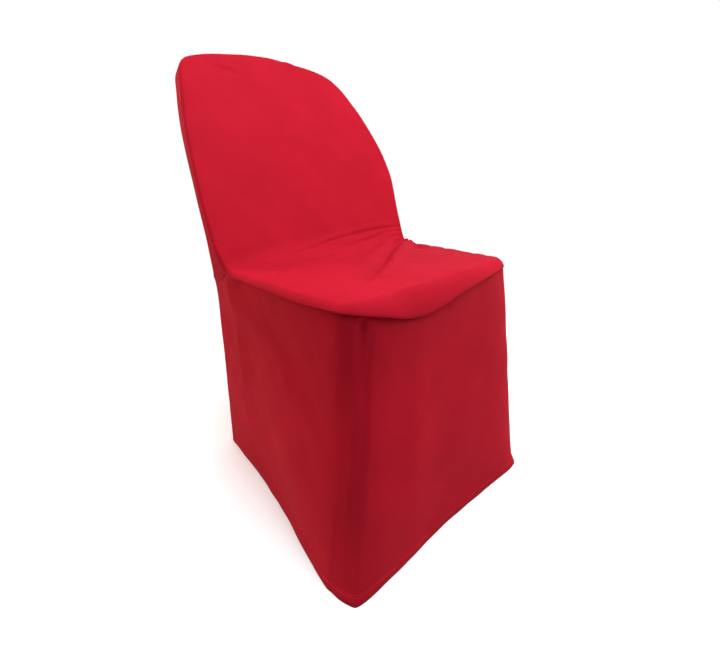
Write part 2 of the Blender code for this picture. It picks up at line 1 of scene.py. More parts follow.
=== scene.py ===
"""Dresses the solids of a stretch chair cover: cloth sheets, seams, stitches, floor, lights and camera."""

import math

import bpy
import numpy as np
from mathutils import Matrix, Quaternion, Vector


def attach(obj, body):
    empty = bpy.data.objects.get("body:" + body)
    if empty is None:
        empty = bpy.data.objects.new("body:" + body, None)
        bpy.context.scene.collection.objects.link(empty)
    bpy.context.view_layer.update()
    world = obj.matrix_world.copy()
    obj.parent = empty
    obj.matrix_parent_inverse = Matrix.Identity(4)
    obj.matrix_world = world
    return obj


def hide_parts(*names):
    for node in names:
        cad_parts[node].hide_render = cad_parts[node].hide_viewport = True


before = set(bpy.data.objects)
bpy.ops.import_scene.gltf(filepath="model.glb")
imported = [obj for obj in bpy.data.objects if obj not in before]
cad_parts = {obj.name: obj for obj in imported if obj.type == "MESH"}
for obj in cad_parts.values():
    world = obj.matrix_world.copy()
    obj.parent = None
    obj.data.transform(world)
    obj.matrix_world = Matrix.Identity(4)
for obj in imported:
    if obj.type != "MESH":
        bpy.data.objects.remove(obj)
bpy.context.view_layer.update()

bl_info = {
    "name": "Stretch chair cover",
    "version": (1, 0, 0),
    "blender": (4, 5, 0),
    "location": "3D View > Sidebar > Chair Cover",
    "description": "Makes the cloth, seams and stitches of a fitted chair cover, with a plain stage",
    "category": "Object",
}

# Body that all pieces ride on
BODY = "root"


def from_mm(*rows):
    """A table given in millimetres, as metres."""
    return np.array(rows, float) / 1000


# Lengths are metres, apart from tables in from_mm, the creases and the skirt's bends, which are in
# millimetres. Shapes are worked out with the floor at height zero and the seat facing -Y. The part's
# origin is the point under the cloth at the top of the back.
BEARING_POINT = np.array([0.0, 0.2715, 0.8225])
ACROSS = np.array([1.0, 0.0, 0.0])
MIRROR = np.array([-1.0, 1.0, 1.0])

# Chair that the cover is stretched over
SEAT_TOP = 0.445
BACK_FOOT_Y = 0.0695
BACK_LEAN = math.radians(26.4)

# Width of the soft bend where the back meets the seat, at the middle and at the sides
BEND_MIDDLE = 0.046
BEND_SIDE = 0.018
BEND_HALF_WIDTH = 0.215

# Rise of the seat and of the back towards their middle
SEAT_CROWN = 0.005
BACK_CROWN = 0.003

# Outline of the front panel laid flat. "along" is measured up the back from the line where back and
# seat meet, and is negative on the seat. "across" is the distance from the middle. "roll" and "drop"
# are how far the cloth turns outwards and then inwards round the edge, down to its seam.
NEAR_EDGE = from_mm(
    # along, across, roll, drop
    (431, 0, 5, 5),
    (428.5, 42, 5, 5),
    (422.8, 83, 5, 5),
    (416, 123, 5, 5),
    (408.5, 151, 5, 5),
    (398, 174, 5, 5),
    (380, 187, 5, 5),
    (345, 195, 5, 5),
    (305, 202.5, 5, 5),
    (257, 210, 5, 5),
    (197, 216, 5, 5),
    (132, 221, 5, 5),
    (82, 223, 5, 5),
    (37, 222, 5, 5),
    (0, 217, 6, 8),
    (-35, 212, 8, 11),
    (-105, 208, 8, 12),
    (-187, 204, 9, 14),
    (-248, 197, 11, 13),
    (-275, 190, 13, 14),
    (-291, 177, 15, 16),
    (-302, 157, 18, 21),
    (-308.5, 128, 20, 29),
    (-310.5, 90, 22, 39),
    (-311, 65, 22, 42),
    (-311, 23, 22, 37),
)
FAR_EDGE = from_mm(
    # along, across, roll, drop
    (426.5, 48, 5, 5),
    (420.5, 96, 5, 5),
    (413, 126, 5, 5),
    (398.5, 151, 5, 5),
    (378, 170, 5, 5),
    (342, 191, 5, 5),
    (305, 209, 5, 5),
    (254, 226, 5, 5),
    (200, 235, 5, 5),
    (165, 236, 5, 5),
    (124, 229, 5, 5),
    (73, 220, 5, 5),
    (23, 212, 5, 5),
    (0, 210, 6, 8),
    (-35, 209, 8, 11),
    (-105, 207, 8, 12),
    (-187, 204, 9, 14),
    (-240, 203, 10, 13),
    (-266, 198, 11, 14),
    (-283, 181, 14, 15),
    (-290, 155, 17, 17),
    (-300.5, 98, 20, 21),
    (-308.5, 25, 22, 28),
)
NEAR_SHOULDER_ROW = 5
NEAR_CORNER_ROW = 20
FAR_SHOULDER_ROW = 3
FAR_CORNER_ROW = 19

# Creases of the front panel laid flat: each runs through its points, as (across, along). It sinks by
# "depth", or stands up where depth is negative, and fades over these shares of its length.
CREASES = (
    # depth, width, fade at the start, fade at the end, and the points
    # Thin line across the foot of the back, with the cloth swelling above and below it
    (1.6, 3, 0.04, 0.12, (214, 38), (150, 37), (89, 34), (5, 23), (-46, 12), (-118, -7)),
    (-0.9, 4.8, 0.10, 0.20, (205, 46), (150, 46), (89, 43), (5, 32), (-46, 21), (-114, 2)),
    (-2, 7.5, 0.10, 0.50, (205, 27), (130, 24), (61, 15), (-20, 2)),
    # Softer lines fanning out below it from the far corner
    (2.6, 5, 0.05, 0.55, (210, 28), (162, 27), (117, 18), (72, 6), (20, -12)),
    (-2.4, 8.5, 0.10, 0.60, (205, 14), (150, 6), (85, -12), (40, -30)),
    (3.4, 7, 0.05, 0.55, (208, 18), (160, 8), (103, -18), (15, -73)),
    # Drag line from the far corner across the seat, sharp on its near side, with a roll beyond it
    (6.6, 8.2, 0.04, 0.22, (208, 10), (184, -3), (63, -95), (-30, -169), (-99, -218), (-140, -240)),
    (-4.2, 12, 0.06, 0.30, (200, -16), (76, -112), (-18, -186), (-90, -238)),
    (-2.4, 11, 0.15, 0.50, (150, 0), (50, -70), (-45, -148)),
    # Short lines on the seat
    (4.6, 10, 0.45, 0.55, (206, -34), (175, -62), (135, -140)),
    (-1.8, 11, 0.35, 0.60, (205, -56), (186, -84), (150, -154)),
    (2.2, 6.5, 0.35, 0.40, (12, -7), (-26, -22), (-64, -41)),
    (-1.2, 8, 0.35, 0.40, (12, -22), (-26, -37), (-64, -56)),
    (1.8, 9, 0.30, 0.40, (-60, -262), (-95, -279), (-138, -298)),
    # Gathered lumps at the far corner and along the far edge
    (-6, 8, 0.00, 0.35, (210, -6), (196, -12)),
    (-5.6, 8, 0.00, 0.35, (212, -23), (198, -25)),
    (2.4, 3.4, 0.00, 0.40, (212, -15), (186, -18)),
    (1.8, 5, 0.00, 0.50, (212, -40), (180, -52)),
    (-1.4, 18, 0.00, 0.60, (204, -155), (165, -160)),
    (1.3, 6, 0.00, 0.70, (208, -85), (172, -100)),
    (1.2, 6, 0.00, 0.70, (206, -128), (170, -140)),
    (1.2, 6, 0.00, 0.70, (206, -200), (170, -212)),
    (1, 5, 0.00, 0.70, (200, -236), (172, -240)),
    # Faint lines and a small bump under the top edge
    (1.2, 5, 0.30, 0.50, (-145, 390), (-88, 381), (-30, 376)),
    (1.2, 5, 0.30, 0.50, (-110, 399), (-65, 390), (-20, 381)),
    (-1.2, 6, 0.30, 0.50, (-125, 400), (-76, 388), (-25, 386)),
    (-2.2, 12, 0.20, 0.50, (30, 428), (55, 416)),
)

# Widths of a crease over which it still counts, and the steps of its line between two points
CREASE_REACH = 3.2
CREASE_STEPS = 10

# Depth of the pocket for the chair's back, at heights along the back
POCKET_ROWS = from_mm(
    (431, 30),
    (370, 34),
    (305, 34),
    (220, 27),
    (130, 23),
    (60, 31),
)

# Middle line of the rear panel under the back, from seat height to the floor, as (height, y)
REAR_LINE = from_mm(
    (440, 131),
    (415, 143),
    (390, 152),
    (330, 166),
    (240, 187),
    (140, 213),
    (30, 253),
    (0, 261),
)
REAR_BRIDGE = 0.018
REAR_BRIDGE_HEIGHT = 0.445
REAR_BRIDGE_REACH = 0.075
REAR_ROUNDING = 0.008
UPRIGHT_FROM = 0.46
UPRIGHT_FADE = 0.06

# Upright edges of the rear panel: its rear face ends at this half width, and its seam lies at these
# places on the cover's side
REAR_EDGE = from_mm(
    # height, corner, seam_x, seam_y, seam_z
    (420, 210, 213.5, 100, 427),
    (405, 207.5, 209.5, 128, 412),
    (385, 205.5, 206.5, 140, 388),
    (330, 203, 204, 153, 330),
    (240, 198, 199, 174, 240),
    (140, 192, 193, 200, 140),
    (30, 181, 182.5, 240, 30),
    (0.8, 179.5, 181, 248, 0.8),
)
SKIRT_TOP_REAR_ROW = 2

# Where the fold at the near front corner leaves the seat's front
SKIRT_FOLD_X = -0.157

# Hem of the skirt on the floor, as (x, y), from the near rear foot round the front to the far one
HEM = from_mm(
    (-181, 248),
    (-184, 190),
    (-190, 80),
    (-200.5, -10),
    (-214.5, -100),
    (-225.5, -172),
    (-227.7, -190.5),
    (-226.2, -200),
    (-223.5, -218.5),
    (-216.5, -240),
    (-214, -244),
    (-205, -246.8),
    (-192, -248),
    (-130, -248),
    (-40, -244.5),
    (67, -246.5),
    (160, -253),
    (200, -254),
    (219, -249),
    (225.5, -230),
    (222, -180),
    (213, -100),
    (202, -10),
    (192, 80),
    (185, 190),
    (181, 248),
)
HEM_NEAR_NOTCH_ROW = 6
HEM_NEAR_CORNER_ROW = 10
HEM_FAR_CORNER_ROW = 18
HEM_HEIGHT = 0.0008
# How far the hem's doubled cloth stands proud, and the height over which it starts to
HEM_RISE = 0.0003
HEM_RISE_EASE = 0.005

# Inward draw of the skirt under the seat, by place along the band
UNDERCUT = (
    (0.00, 0.003),
    (0.12, 0.009),
    (0.25, 0.010),
    (0.33, 0.006),
    (0.45, 0.009),
    (0.55, 0.006),
    (0.63, 0.000),
    (0.70, 0.000),
    (0.85, 0.004),
    (1.00, 0.002),
)

# How far down the skirt comes out again from under the seat's edge, by place along the band
INSET_RETURN = (
    (0.00, 0.50),
    (0.58, 0.50),
    (0.66, 0.08),
    (1.00, 0.08),
)
# Shares of the fall at which the draw is full, has ended, and over which it ends
UNDERCUT_DEPTH = 0.26
UNDERCUT_END = 0.75
UNDERCUT_EASE = 0.6
# How far the skirt draws in above the front feet, the share of the fall over which its hem kicks out
# again, and the width of both
FOOT_KICK = 0.006
FOOT_KICK_SHARE = 0.055
FOOT_KICK_WIDTH = 0.035

# Soft upright waves of the skirt
SKIRT_WAVES = (
    # height, width, place, drift
    (0.0050, 0.050, 0.10, 0.17),
    (0.0025, 0.022, 0.43, 0.00),
    (-0.0025, 0.035, 0.50, -0.01),
    (0.0035, 0.060, 0.86, -0.08),
)
# Sharp fold at the near front corner, soft on the near side and steep towards the front
FOLD_DEPTH = 0.0030
FOLD_NEAR_WIDTH = 0.032
FOLD_FRONT_WIDTH = 0.0065
# Shares of the fall over which the fold sets in and fades out
FOLD_TOP_FADE = 0.15
FOLD_HEM_FADE = 0.45
# Draw of the skirt just under the seat's near corner, its width along the band, and the shares of the
# fall over which it sets in, fades out and ends
CORNER_DRAW = 0.005
CORNER_DRAW_WIDTH = 0.014
CORNER_DRAW_FROM = 0.03
CORNER_DRAW_FADE = 0.27
CORNER_DRAW_END = 0.30
# Distance over which the skirt's outward direction turns
TURN_REACH = 0.012

# Soft bends of the skirt, as depth, width, share of fade at start and end, and their course along the
# band and down it
SKIRT_BENDS = (
    (-1.7, 21, 0.25, 0.35, (60, 20), (92.6, 46), (222.7, 83), (276, 122), (291.1, 156), (344.1, 177),
     (382.5, 222), (405, 270)),
    (0.9, 22, 0.25, 0.35, (100, 10), (130, 30), (256, 63), (308, 100), (325, 130), (377, 155), (415, 200),
     (430, 250)),
)

# Shares of the fall over which the waves set in and fade out, shares of the band's ends in which its
# seams hold it still, and over which it follows their bowed line
WAVE_TOP_FADE = 0.15
WAVE_HEM_FADE = 0.20
HELD_SHARE = 0.06
BOW_SHARE = 0.30

# Slow unevenness of stretched cloth: height, and waves per metre along the two flat directions
DRIFTS = (
    # height, waves along u, waves along v, phase
    (0.00035, 7.0, 4.0, 0.3),
    (0.00030, -5.0, 9.0, 1.7),
    (0.00018, 15.0, 11.0, 2.9),
    (0.00015, -19.0, 13.0, 4.1),
)

# Seams: the cloth dips towards them and puckers beside them. The puckers' length sways over one
# distance and their height changes over another.
SEAM_DIP = 0.0004
SEAM_REACH = 0.004
PUCKER_HEIGHT = 0.00025
PUCKER_LENGTH = 0.011
PUCKER_REACH = 0.013
PUCKER_SWAY = 1.3
PUCKER_SWAY_LENGTH = 0.047
PUCKER_CHANGE = 0.4
PUCKER_CHANGE_LENGTH = 0.131
PUCKER_CHANGE_PHASE = 0.8
SEAM_ALLOWANCE = 0.004

# Length of a rolled edge as a share of its roll and drop together
ARC_SHARE = 0.8

# Height of the skirt along the cloth, and width of its seam allowance laid flat
SKIRT_FALL = 0.43
SKIRT_ALLOWANCE_FLAT = 0.003

# Steps of the rear panel between its rounded edge and its seam, as shares of the way. Its puckers fade
# in over the first of them.
REAR_EDGE_SHARES = (0.15, 0.3, 0.45, 0.6, 0.72, 0.82, 0.90, 0.96, 1.0)
REAR_PUCKER_FROM = 0.4
# Its puckers lie this far along from the front panel's
REAR_PUCKER_SHIFT = 0.004
# Widths of that edge laid flat: the rounding, and from there to the seam
REAR_ROUNDING_FLAT = 0.012
REAR_EDGE_FLAT = 0.02
# Where the rear panel's unevenness starts, so that it differs from the front's
REAR_DRIFT_START = 0.3
# How far the rear panel's seam allowance draws away from the front panel's
REAR_ALLOWANCE_STEP = 0.0004

# Hem stitches: gap between the twin rows, and how far the thread stands off the cloth
HEM_ROW_GAP = 0.0032
THREAD_LIFT = 0.0002
# Columns that the rows leave out at the skirt's ends, points of their line across the rear panel, and
# the direction of the rear panel's face there
HEM_ROW_START = 3
REAR_HEM_POINTS = 60
REAR_HEM_FACING = (0.0, 1.0, 0.25)
# Place of the edge seam's stitches as a share of the cloth's turn, and how deep they sit
EDGE_SEAM_SHARE = 0.97
EDGE_SEAM_SINK = 0.0001
# One stitch: its rings along the thread, as place, thickness and sink, and the sides of each ring
STITCH_RINGS = ((-1.0, 0.45, 0.9), (-0.8, 1.0, 0.1), (0.8, 1.0, 0.1), (1.0, 0.45, 0.9))
THREAD_SIDES = 6

# Foot soles: rings from the middle outwards, the share at which they start, the sheet's height above
# its solid's underside, and the height within which corners belong to that underside
SOLE_RINGS = 16
SOLE_START = 0.02
SOLE_LIFT = 0.0018
SAME_HEIGHT = 0.0002

# Size of the round floor, where it starts to fade out, the corners of its rim, and its gap to the cover
FLOOR_REACH = 1.7
FLOOR_FADE = 0.75
FLOOR_CORNERS = 96
FLOOR_GAP = 0.0002

# Softboxes, their places and aims given with the floor at height zero
LIGHTS = (
    # name, place, aim, size, setting of its colour
    ("front", (0.0, -0.8, 1.5), (0.0, 0.0, 0.5), (0.9, 0.9), "front_hex"),
    ("overhead", (0.0, -0.2, 1.9), (0.0, 0.0, 0.4), (1.2, 1.2), "front_hex"),
    ("left", (-1.05, 1.1, 0.95), (-0.2, 0.15, 0.50), (0.6, 0.8), "side_hex"),
    ("right", (1.3, -0.7, 0.5), (0.1, -0.25, 0.25), (0.6, 0.8), "side_hex"),
)

# Direction of the studio's bright side, and where it starts and ends, as the cosine to that direction
LIT_SIDE = (0.62, 0.78, 0.0)
LIT_FROM = -0.35
LIT_TO = 0.60

# How far the cloth tucks in under the seat's edge as a share of its roll, where that sets in, the share
# of the turn from which it does, its share of the drop, and the lean of its face there
SEAT_TUCK = 0.30
SEAT_TUCK_EASE = 0.045
TUCK_FROM = 0.75
TUCK_DROP = 0.08
TUCK_LEAN = math.radians(40)
# It tucks in less on the far side: from where across the seat, over what width, and by what share
FAR_SIDE_FROM = 0.08
FAR_SIDE_WIDTH = 0.09
FAR_TUCK_LOSS = 0.75

# Shape of the roll over the seat's and the back's edge: 1 is an ellipse, more is flatter between its ends
SEAT_ROLL_POWER = 1.35
BACK_ROLL_POWER = 1.3

# Knit as it is drawn: slant of a loop's leg, height of the ridge between two columns and of the leg
LOOP_SLANT = 1.1
LOOP_RIDGE = 2.4
LOOP_LEG = 0.35
# Fibre fuzz and clouds of dye, in spots per metre of cloth, and the fuzz's share in the dye
FUZZ_PER_METRE = 420.0
CLOUDS_PER_METRE = 9.0
FUZZ_IN_DYE = 0.25

# Mesh steps of the cloth
OUTLINE_STEPS = 16
FRONT_COLUMNS = 120
COLUMN_CROWDING = 0.30
BACK_STRETCHES = ((0.00, 0), (0.80, 60), (1.00, 38))
SEAT_STRETCHES = ((0.00, 0), (0.12, 16), (0.72, 50), (1.00, 26))
CROWN_SHARE = 0.35
LIP_SHARE = 0.28
REAR_CROWN_SHARE = 0.22
REAR_COLUMNS = 90
ROWS_PER_REAR_SPAN = 9
ROLL_STEPS = 12
SKIRT_ROWS = 84
CORNER_COLUMNS = 30
SKIRT_TOP_CROWDING = 0.55


def linear(hex_colour, alpha=1.0):
    """An sRGB hex colour as the linear numbers that Blender uses."""
    channels = [int(hex_colour[i : i + 2], 16) / 255 for i in (1, 3, 5)]
    return (*[c / 12.92 if c <= 0.04045 else ((c + 0.055) / 1.055) ** 2.4 for c in channels], alpha)


def smooth_rows(rows, closed=False, spaced_by=2, steps=OUTLINE_STEPS):
    """Centripetal Catmull-Rom curve through the rows, whose first spaced_by columns are its position."""
    rows = np.array(rows, float)
    if closed:
        padded = np.vstack([rows[-1:], rows, rows[:2]])
    else:
        padded = np.vstack([2 * rows[0] - rows[1], rows, 2 * rows[-1] - rows[-2]])
    share = np.linspace(0, 1, steps, endpoint=False)[:, None]
    spans = []
    for a, b, c, d in zip(padded, padded[1:], padded[2:], padded[3:]):
        gaps = [math.sqrt(math.dist(m[:spaced_by], n[:spaced_by])) for m, n in ((a, b), (b, c), (c, d))]
        slope_b = gaps[1] * ((b - a) / gaps[0] - (c - a) / (gaps[0] + gaps[1]) + (c - b) / gaps[1])
        slope_c = gaps[1] * ((c - b) / gaps[1] - (d - b) / (gaps[1] + gaps[2]) + (d - c) / gaps[2])
        spans.append(
            (2 * share**3 - 3 * share**2 + 1) * b
            + (share**3 - 2 * share**2 + share) * slope_b
            + (-2 * share**3 + 3 * share**2) * c
            + (share**3 - share**2) * slope_c
        )
    return np.vstack(spans) if closed else np.vstack(spans + [rows[-1:]])


def between_rows(values, known, rows):
    """The rows, interpolated where the known numbers that belong to them take these values."""
    return np.stack([np.interp(values, known, column) for column in rows.T], axis=-1)


def at(curve, column, values):
    """Every column of the curve where one column takes these values."""
    rows = curve[np.argsort(curve[:, column])]
    return between_rows(values, rows[:, column], rows)


def travelled(line):
    """Distance along a line of points."""
    return np.concatenate([[0], np.cumsum(np.linalg.norm(np.diff(line, axis=0), axis=1))])


def spread(curve, shares):
    """The curve at these shares of its length."""
    length = travelled(curve[:, :3])
    return between_rows(length[-1] * shares, length, curve)


def soft_step(value):
    """Goes from 0 to 1 as value does, flat at both ends."""
    value = np.clip(value, 0, 1)
    return value * value * (3 - 2 * value)


def between_fades(share, start, end):
    """Rises from 0 over the first shares and falls back to 0 over the last ones."""
    return soft_step(share / start) * soft_step((1 - share) / end)


def bell(value):
    """1 in the middle, falling off on both sides."""
    return np.exp(-(value**2))


def unit(vectors):
    return vectors / np.maximum(np.linalg.norm(vectors, axis=-1, keepdims=True), 1e-12)


def crease_depth(across, along, creases):
    """How far the creases push the cloth in at each point of the flat cloth."""
    depth = np.zeros(np.shape(across))
    for deep, width, fade_in, fade_out, *corners in creases:
        deep, width = deep / 1000, width / 1000
        line = smooth_rows(from_mm(*corners), steps=CREASE_STEPS)
        place = travelled(line)
        place = place / place[-1]
        reach = CREASE_REACH * width
        low = line.min(axis=0) - reach
        high = line.max(axis=0) + reach
        near = (across > low[0]) & (across < high[0]) & (along > low[1]) & (along < high[1])
        if not near.any():
            continue
        here = np.stack([across[near], along[near]], axis=-1)
        start = line[:-1]
        step = np.diff(line, axis=0)
        from_start = here[:, None, :] - start
        run = np.clip((from_start * step).sum(-1) / (step**2).sum(-1), 0, 1)
        apart = np.linalg.norm(from_start - run[..., None] * step, axis=-1)
        best = apart.argmin(axis=1)
        pick = np.arange(len(best))
        where = place[best] + run[pick, best] * (place[best + 1] - place[best])
        fade = soft_step((1 - where) / fade_out)
        if fade_in:
            fade = fade * soft_step(where / fade_in)
        depth[near] += deep * fade * bell(apart[pick, best] / width)
    return depth


def front_surface(across, along):
    """The front panel's outer face at points of the flat cloth, with its direction up and its normal."""
    across, along = np.broadcast_arrays(np.asarray(across, float), np.asarray(along, float))
    sideways = np.clip(np.abs(across) / BEND_HALF_WIDTH, 0, 1)
    bend = BEND_MIDDLE + (BEND_SIDE - BEND_MIDDLE) * sideways**2
    held = np.clip(along, -bend, bend)
    up_share = (held + bend) ** 2 / (4 * bend) + np.maximum(along - bend, 0)
    out_share = (bend - held) ** 2 / (4 * bend) + np.maximum(-along - bend, 0)
    turn = (held + bend) / (2 * bend)
    y = BACK_FOOT_Y + up_share * math.sin(BACK_LEAN) - out_share
    z = SEAT_TOP + up_share * math.cos(BACK_LEAN)
    upward_y = turn * math.sin(BACK_LEAN) + 1 - turn
    upward_z = turn * math.cos(BACK_LEAN)
    upward = unit(np.stack([np.zeros_like(y), upward_y, upward_z], axis=-1))
    normal = np.cross(ACROSS, upward)
    crown = (SEAT_CROWN * (1 - turn) + BACK_CROWN * turn) * (1 - sideways**4)
    lift = crown - cloth_settings().crease_strength * crease_depth(across, along, CREASES)
    return np.stack([across, y, z], -1) + normal * lift[..., None], upward, normal


def front_edge():
    """The flat outline of the front panel: across, along, roll, drop, and the direction out of it."""
    near = [(-across, along, roll, drop) for along, across, roll, drop in NEAR_EDGE]
    far = [(across, along, roll, drop) for along, across, roll, drop in reversed(FAR_EDGE)]
    loop = smooth_rows(near + far, closed=True)
    ahead = np.roll(loop[:, :2], -1, axis=0) - np.roll(loop[:, :2], 1, axis=0)
    return np.hstack([loop, unit(np.stack([ahead[:, 1], -ahead[:, 0]], axis=-1))])


def split_edge(loop):
    """The outline cut at the shoulders and the seat's front corners: crown, near, front and far stretch."""
    last = len(NEAR_EDGE) + len(FAR_EDGE) - 1
    ends = (NEAR_SHOULDER_ROW, NEAR_CORNER_ROW, last - FAR_CORNER_ROW, last - FAR_SHOULDER_ROW)
    shoulder, corner, far_corner, far_shoulder = (row * OUTLINE_STEPS for row in ends)
    crown = np.vstack([loop[far_shoulder:], loop[: shoulder + 1]])
    front = loop[corner : far_corner + 1]
    return crown, loop[shoulder : corner + 1], front, loop[far_corner : far_shoulder + 1]


def crest_line(outline):
    """The line inside the outline where the cloth starts to turn over the edge."""
    crest = outline.copy()
    crest[:, :2] -= crest[:, 2:3] * crest[:, 4:6]
    return crest


def on_seat(crest):
    """Goes from 0 beside the back to 1 along the seat."""
    return soft_step(-crest[:, 1:2] / SEAT_TUCK_EASE)


def tuck_under(crest):
    """How far the cloth tucks in under the seat's edge: nothing beside the back, less on the far side."""
    far = soft_step((crest[:, 0:1] - FAR_SIDE_FROM) / FAR_SIDE_WIDTH)
    return SEAT_TUCK * crest[:, 2:3] * on_seat(crest) * (1 - FAR_TUCK_LOSS * far)


def turned_over(crest, share):
    """The cloth at this share of its turn round the edge, with its face's direction there."""
    point, upward, normal = front_surface(crest[:, 0], crest[:, 1])
    outward = crest[:, 4:5] * ACROSS + crest[:, 5:6] * upward
    tuck = tuck_under(crest)
    seat = on_seat(crest)
    begin = 1 - (1 - TUCK_FROM) * seat
    turned = math.pi / 2 * np.minimum(share / begin, 1)
    tucked = np.maximum(share - begin, 0) / np.maximum(1 - begin, 1e-6)
    power = BACK_ROLL_POWER + (SEAT_ROLL_POWER - BACK_ROLL_POWER) * seat
    out = crest[:, 2:3] * np.sin(turned) ** power - tuck * tucked**2
    under = TUCK_DROP * seat
    fallen = 1 - np.maximum(np.cos(turned), 0) ** power
    drop = crest[:, 3:4] * ((1 - under) * fallen + under * tucked * (2 - tucked))
    leaning = turned + TUCK_LEAN * tucked
    place = point + outward * out - normal * drop
    return place, normal * np.cos(leaning) + outward * np.sin(leaning), outward


def row_shares(stretches):
    shares = [0.0]
    for (start, _), (end, count) in zip(stretches, stretches[1:]):
        shares += list(np.linspace(start, end, count + 1)[1:])
    return np.array(shares)


def crowded(steps, crowding):
    """Shares from 0 to 1 that lie closer together towards both ends."""
    share = np.linspace(0, 1, steps + 1)
    return share - crowding * np.sin(2 * math.pi * share) / (2 * math.pi)


def side_rows(side, shoulder, corner):
    """Ends of the front panel's rows on one side, one of them at the foot of the back."""
    back = shoulder * (1 - row_shares(BACK_STRETCHES))
    seat = corner * row_shares(SEAT_STRETCHES)
    return at(side, 1, np.concatenate([back, seat[1:]]))


def front_rows(outline):
    """Ends of the front panel's grid lines: along the crown, the far side, the front and the near side."""
    crown, near, front, far = split_edge(crest_line(outline))
    near_rows = side_rows(near, near[0, 1], near[-1, 1])
    far_rows = side_rows(far, far[-1, 1], far[0, 1])
    across_share = crowded(FRONT_COLUMNS, COLUMN_CROWDING)
    crown_row = at(crown, 0, near_rows[0, 0] + (far_rows[0, 0] - near_rows[0, 0]) * across_share)
    front_row = at(front, 0, near_rows[-1, 0] + (far_rows[-1, 0] - near_rows[-1, 0]) * across_share)
    return crown_row, far_rows, front_row, near_rows


def border_of(rows, columns):
    """Grid places round the edge: the top, down the far side, back along the bottom, up the near side."""
    top = [(0, i) for i in range(columns + 1)]
    far = [(j, columns) for j in range(1, rows + 1)]
    bottom = [(rows, i) for i in range(columns - 1, -1, -1)]
    near = [(j, 0) for j in range(rows - 1, 0, -1)]
    return top, far, bottom, near


def hung_border(*grids):
    """Places up the near edge, across the top and down the far edge, and the grids' values there."""
    rows = grids[0].shape[0] - 1
    top, far, _, near = border_of(rows, grids[0].shape[1] - 1)
    places = [(rows, 0)] + near + top + far
    return places, [np.array([grid[place] for place in places]) for grid in grids]


def drift(u, v):
    """Slow unevenness of the stretched cloth at flat places in metres."""
    height = np.zeros(np.broadcast_shapes(np.shape(u), np.shape(v)))
    for tall, along_u, along_v, phase in DRIFTS:
        height += tall * np.sin(2 * math.pi * (along_u * u + along_v * v) + phase)
    return height


def pucker(distance, from_seam):
    """Small gathers beside a seam, by distance along it and distance from it."""
    turn = 2 * math.pi * distance
    phase = turn / PUCKER_LENGTH + PUCKER_SWAY * np.sin(turn / PUCKER_SWAY_LENGTH)
    change = PUCKER_CHANGE * np.sin(turn / PUCKER_CHANGE_LENGTH + PUCKER_CHANGE_PHASE)
    uneven = 1 - PUCKER_CHANGE + change
    return PUCKER_HEIGHT * uneven * np.sin(phase) * bell(from_seam / PUCKER_REACH)


def grid_normals(grid):
    return unit(np.cross(np.gradient(grid, axis=1), np.gradient(grid, axis=0)))


def cloth_piece(name, node, grid, flat, border, rings, closed, inside_out):
    """One cloth sheet: a grid, continued past its border by rings, with its flat places as its UV map."""
    rows, columns = grid.shape[:2]
    points = [grid.reshape(-1, 3)]
    places = [flat.reshape(-1, 2)]
    index = np.arange(rows * columns).reshape(rows, columns)
    faces = [
        np.stack([index[:-1, :-1], index[1:, :-1], index[1:, 1:], index[:-1, 1:]], axis=-1).reshape(-1, 4)
    ]
    inner = np.array([j * columns + i for j, i in border], int)
    total = rows * columns
    for ring, ring_flat in rings:
        outer = np.arange(total, total + len(ring))
        total += len(ring)
        points.append(ring)
        places.append(ring_flat)
        count = len(ring)
        now = np.arange(count if closed else count - 1)
        following = (now + 1) % count
        faces.append(np.stack([inner[now], inner[following], outer[following], outer[now]], axis=-1))
        inner = outer
    faces = np.vstack(faces)
    if inside_out:
        faces = faces[:, ::-1]
    points = np.vstack(points) - BEARING_POINT
    places = np.vstack(places)
    mesh = bpy.data.meshes.new(name)
    mesh.vertices.add(len(points))
    mesh.vertices.foreach_set("co", points.astype(np.float32).ravel())
    mesh.loops.add(faces.size)
    mesh.loops.foreach_set("vertex_index", faces.astype(np.int32).ravel())
    mesh.polygons.add(len(faces))
    mesh.polygons.foreach_set("loop_start", np.arange(0, faces.size, 4, dtype=np.int32))
    mesh.update(calc_edges=True)
    mesh.validate()
    layer = mesh.uv_layers.new(name="flat_cloth")
    layer.data.foreach_set("uv", places[faces.ravel()].astype(np.float32).ravel())
    mesh.shade_smooth()
    obj = add_object(name, mesh)
    shell = obj.modifiers.new("cloth thickness", "SOLIDIFY")
    shell.thickness = cloth_settings().thickness
    shell.offset = -1.0
    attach(obj, BODY)
    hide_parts(node)
    return obj


def add_object(name, data):
    obj = bpy.data.objects.new(name, data)
    bpy.context.scene.collection.objects.link(obj)
    return obj


def cloth_settings():
    return bpy.context.scene.chair_cover_cloth


def empty_tree(owner):
    """The owner's node tree, emptied."""
    owner.use_nodes = True
    owner.node_tree.nodes.clear()
    return owner.node_tree


def add_node(tree, kind, settings=None, links=None):
    """Adds a node, sets its fields and sockets, and links sockets, or nodes' first outputs, into it."""
    node = tree.nodes.new("ShaderNode" + kind)
    for key, value in (settings or {}).items():
        if isinstance(key, str) and hasattr(node, key):
            setattr(node, key, value)
        else:
            node.inputs[key].default_value = value
    for key, source in (links or {}).items():
        socket = source.outputs[0] if hasattr(source, "outputs") else source
        tree.links.new(socket, node.inputs[key])
    return node


def add_math(tree, operation, source, number=0.0, added=None):
    """Adds a calculation with a source and a plain number, and with a second source where one is given."""
    links = {0: source} if added is None else {0: source, 2: added}
    return add_node(tree, "Math", {"operation": operation, 1: number}, links)


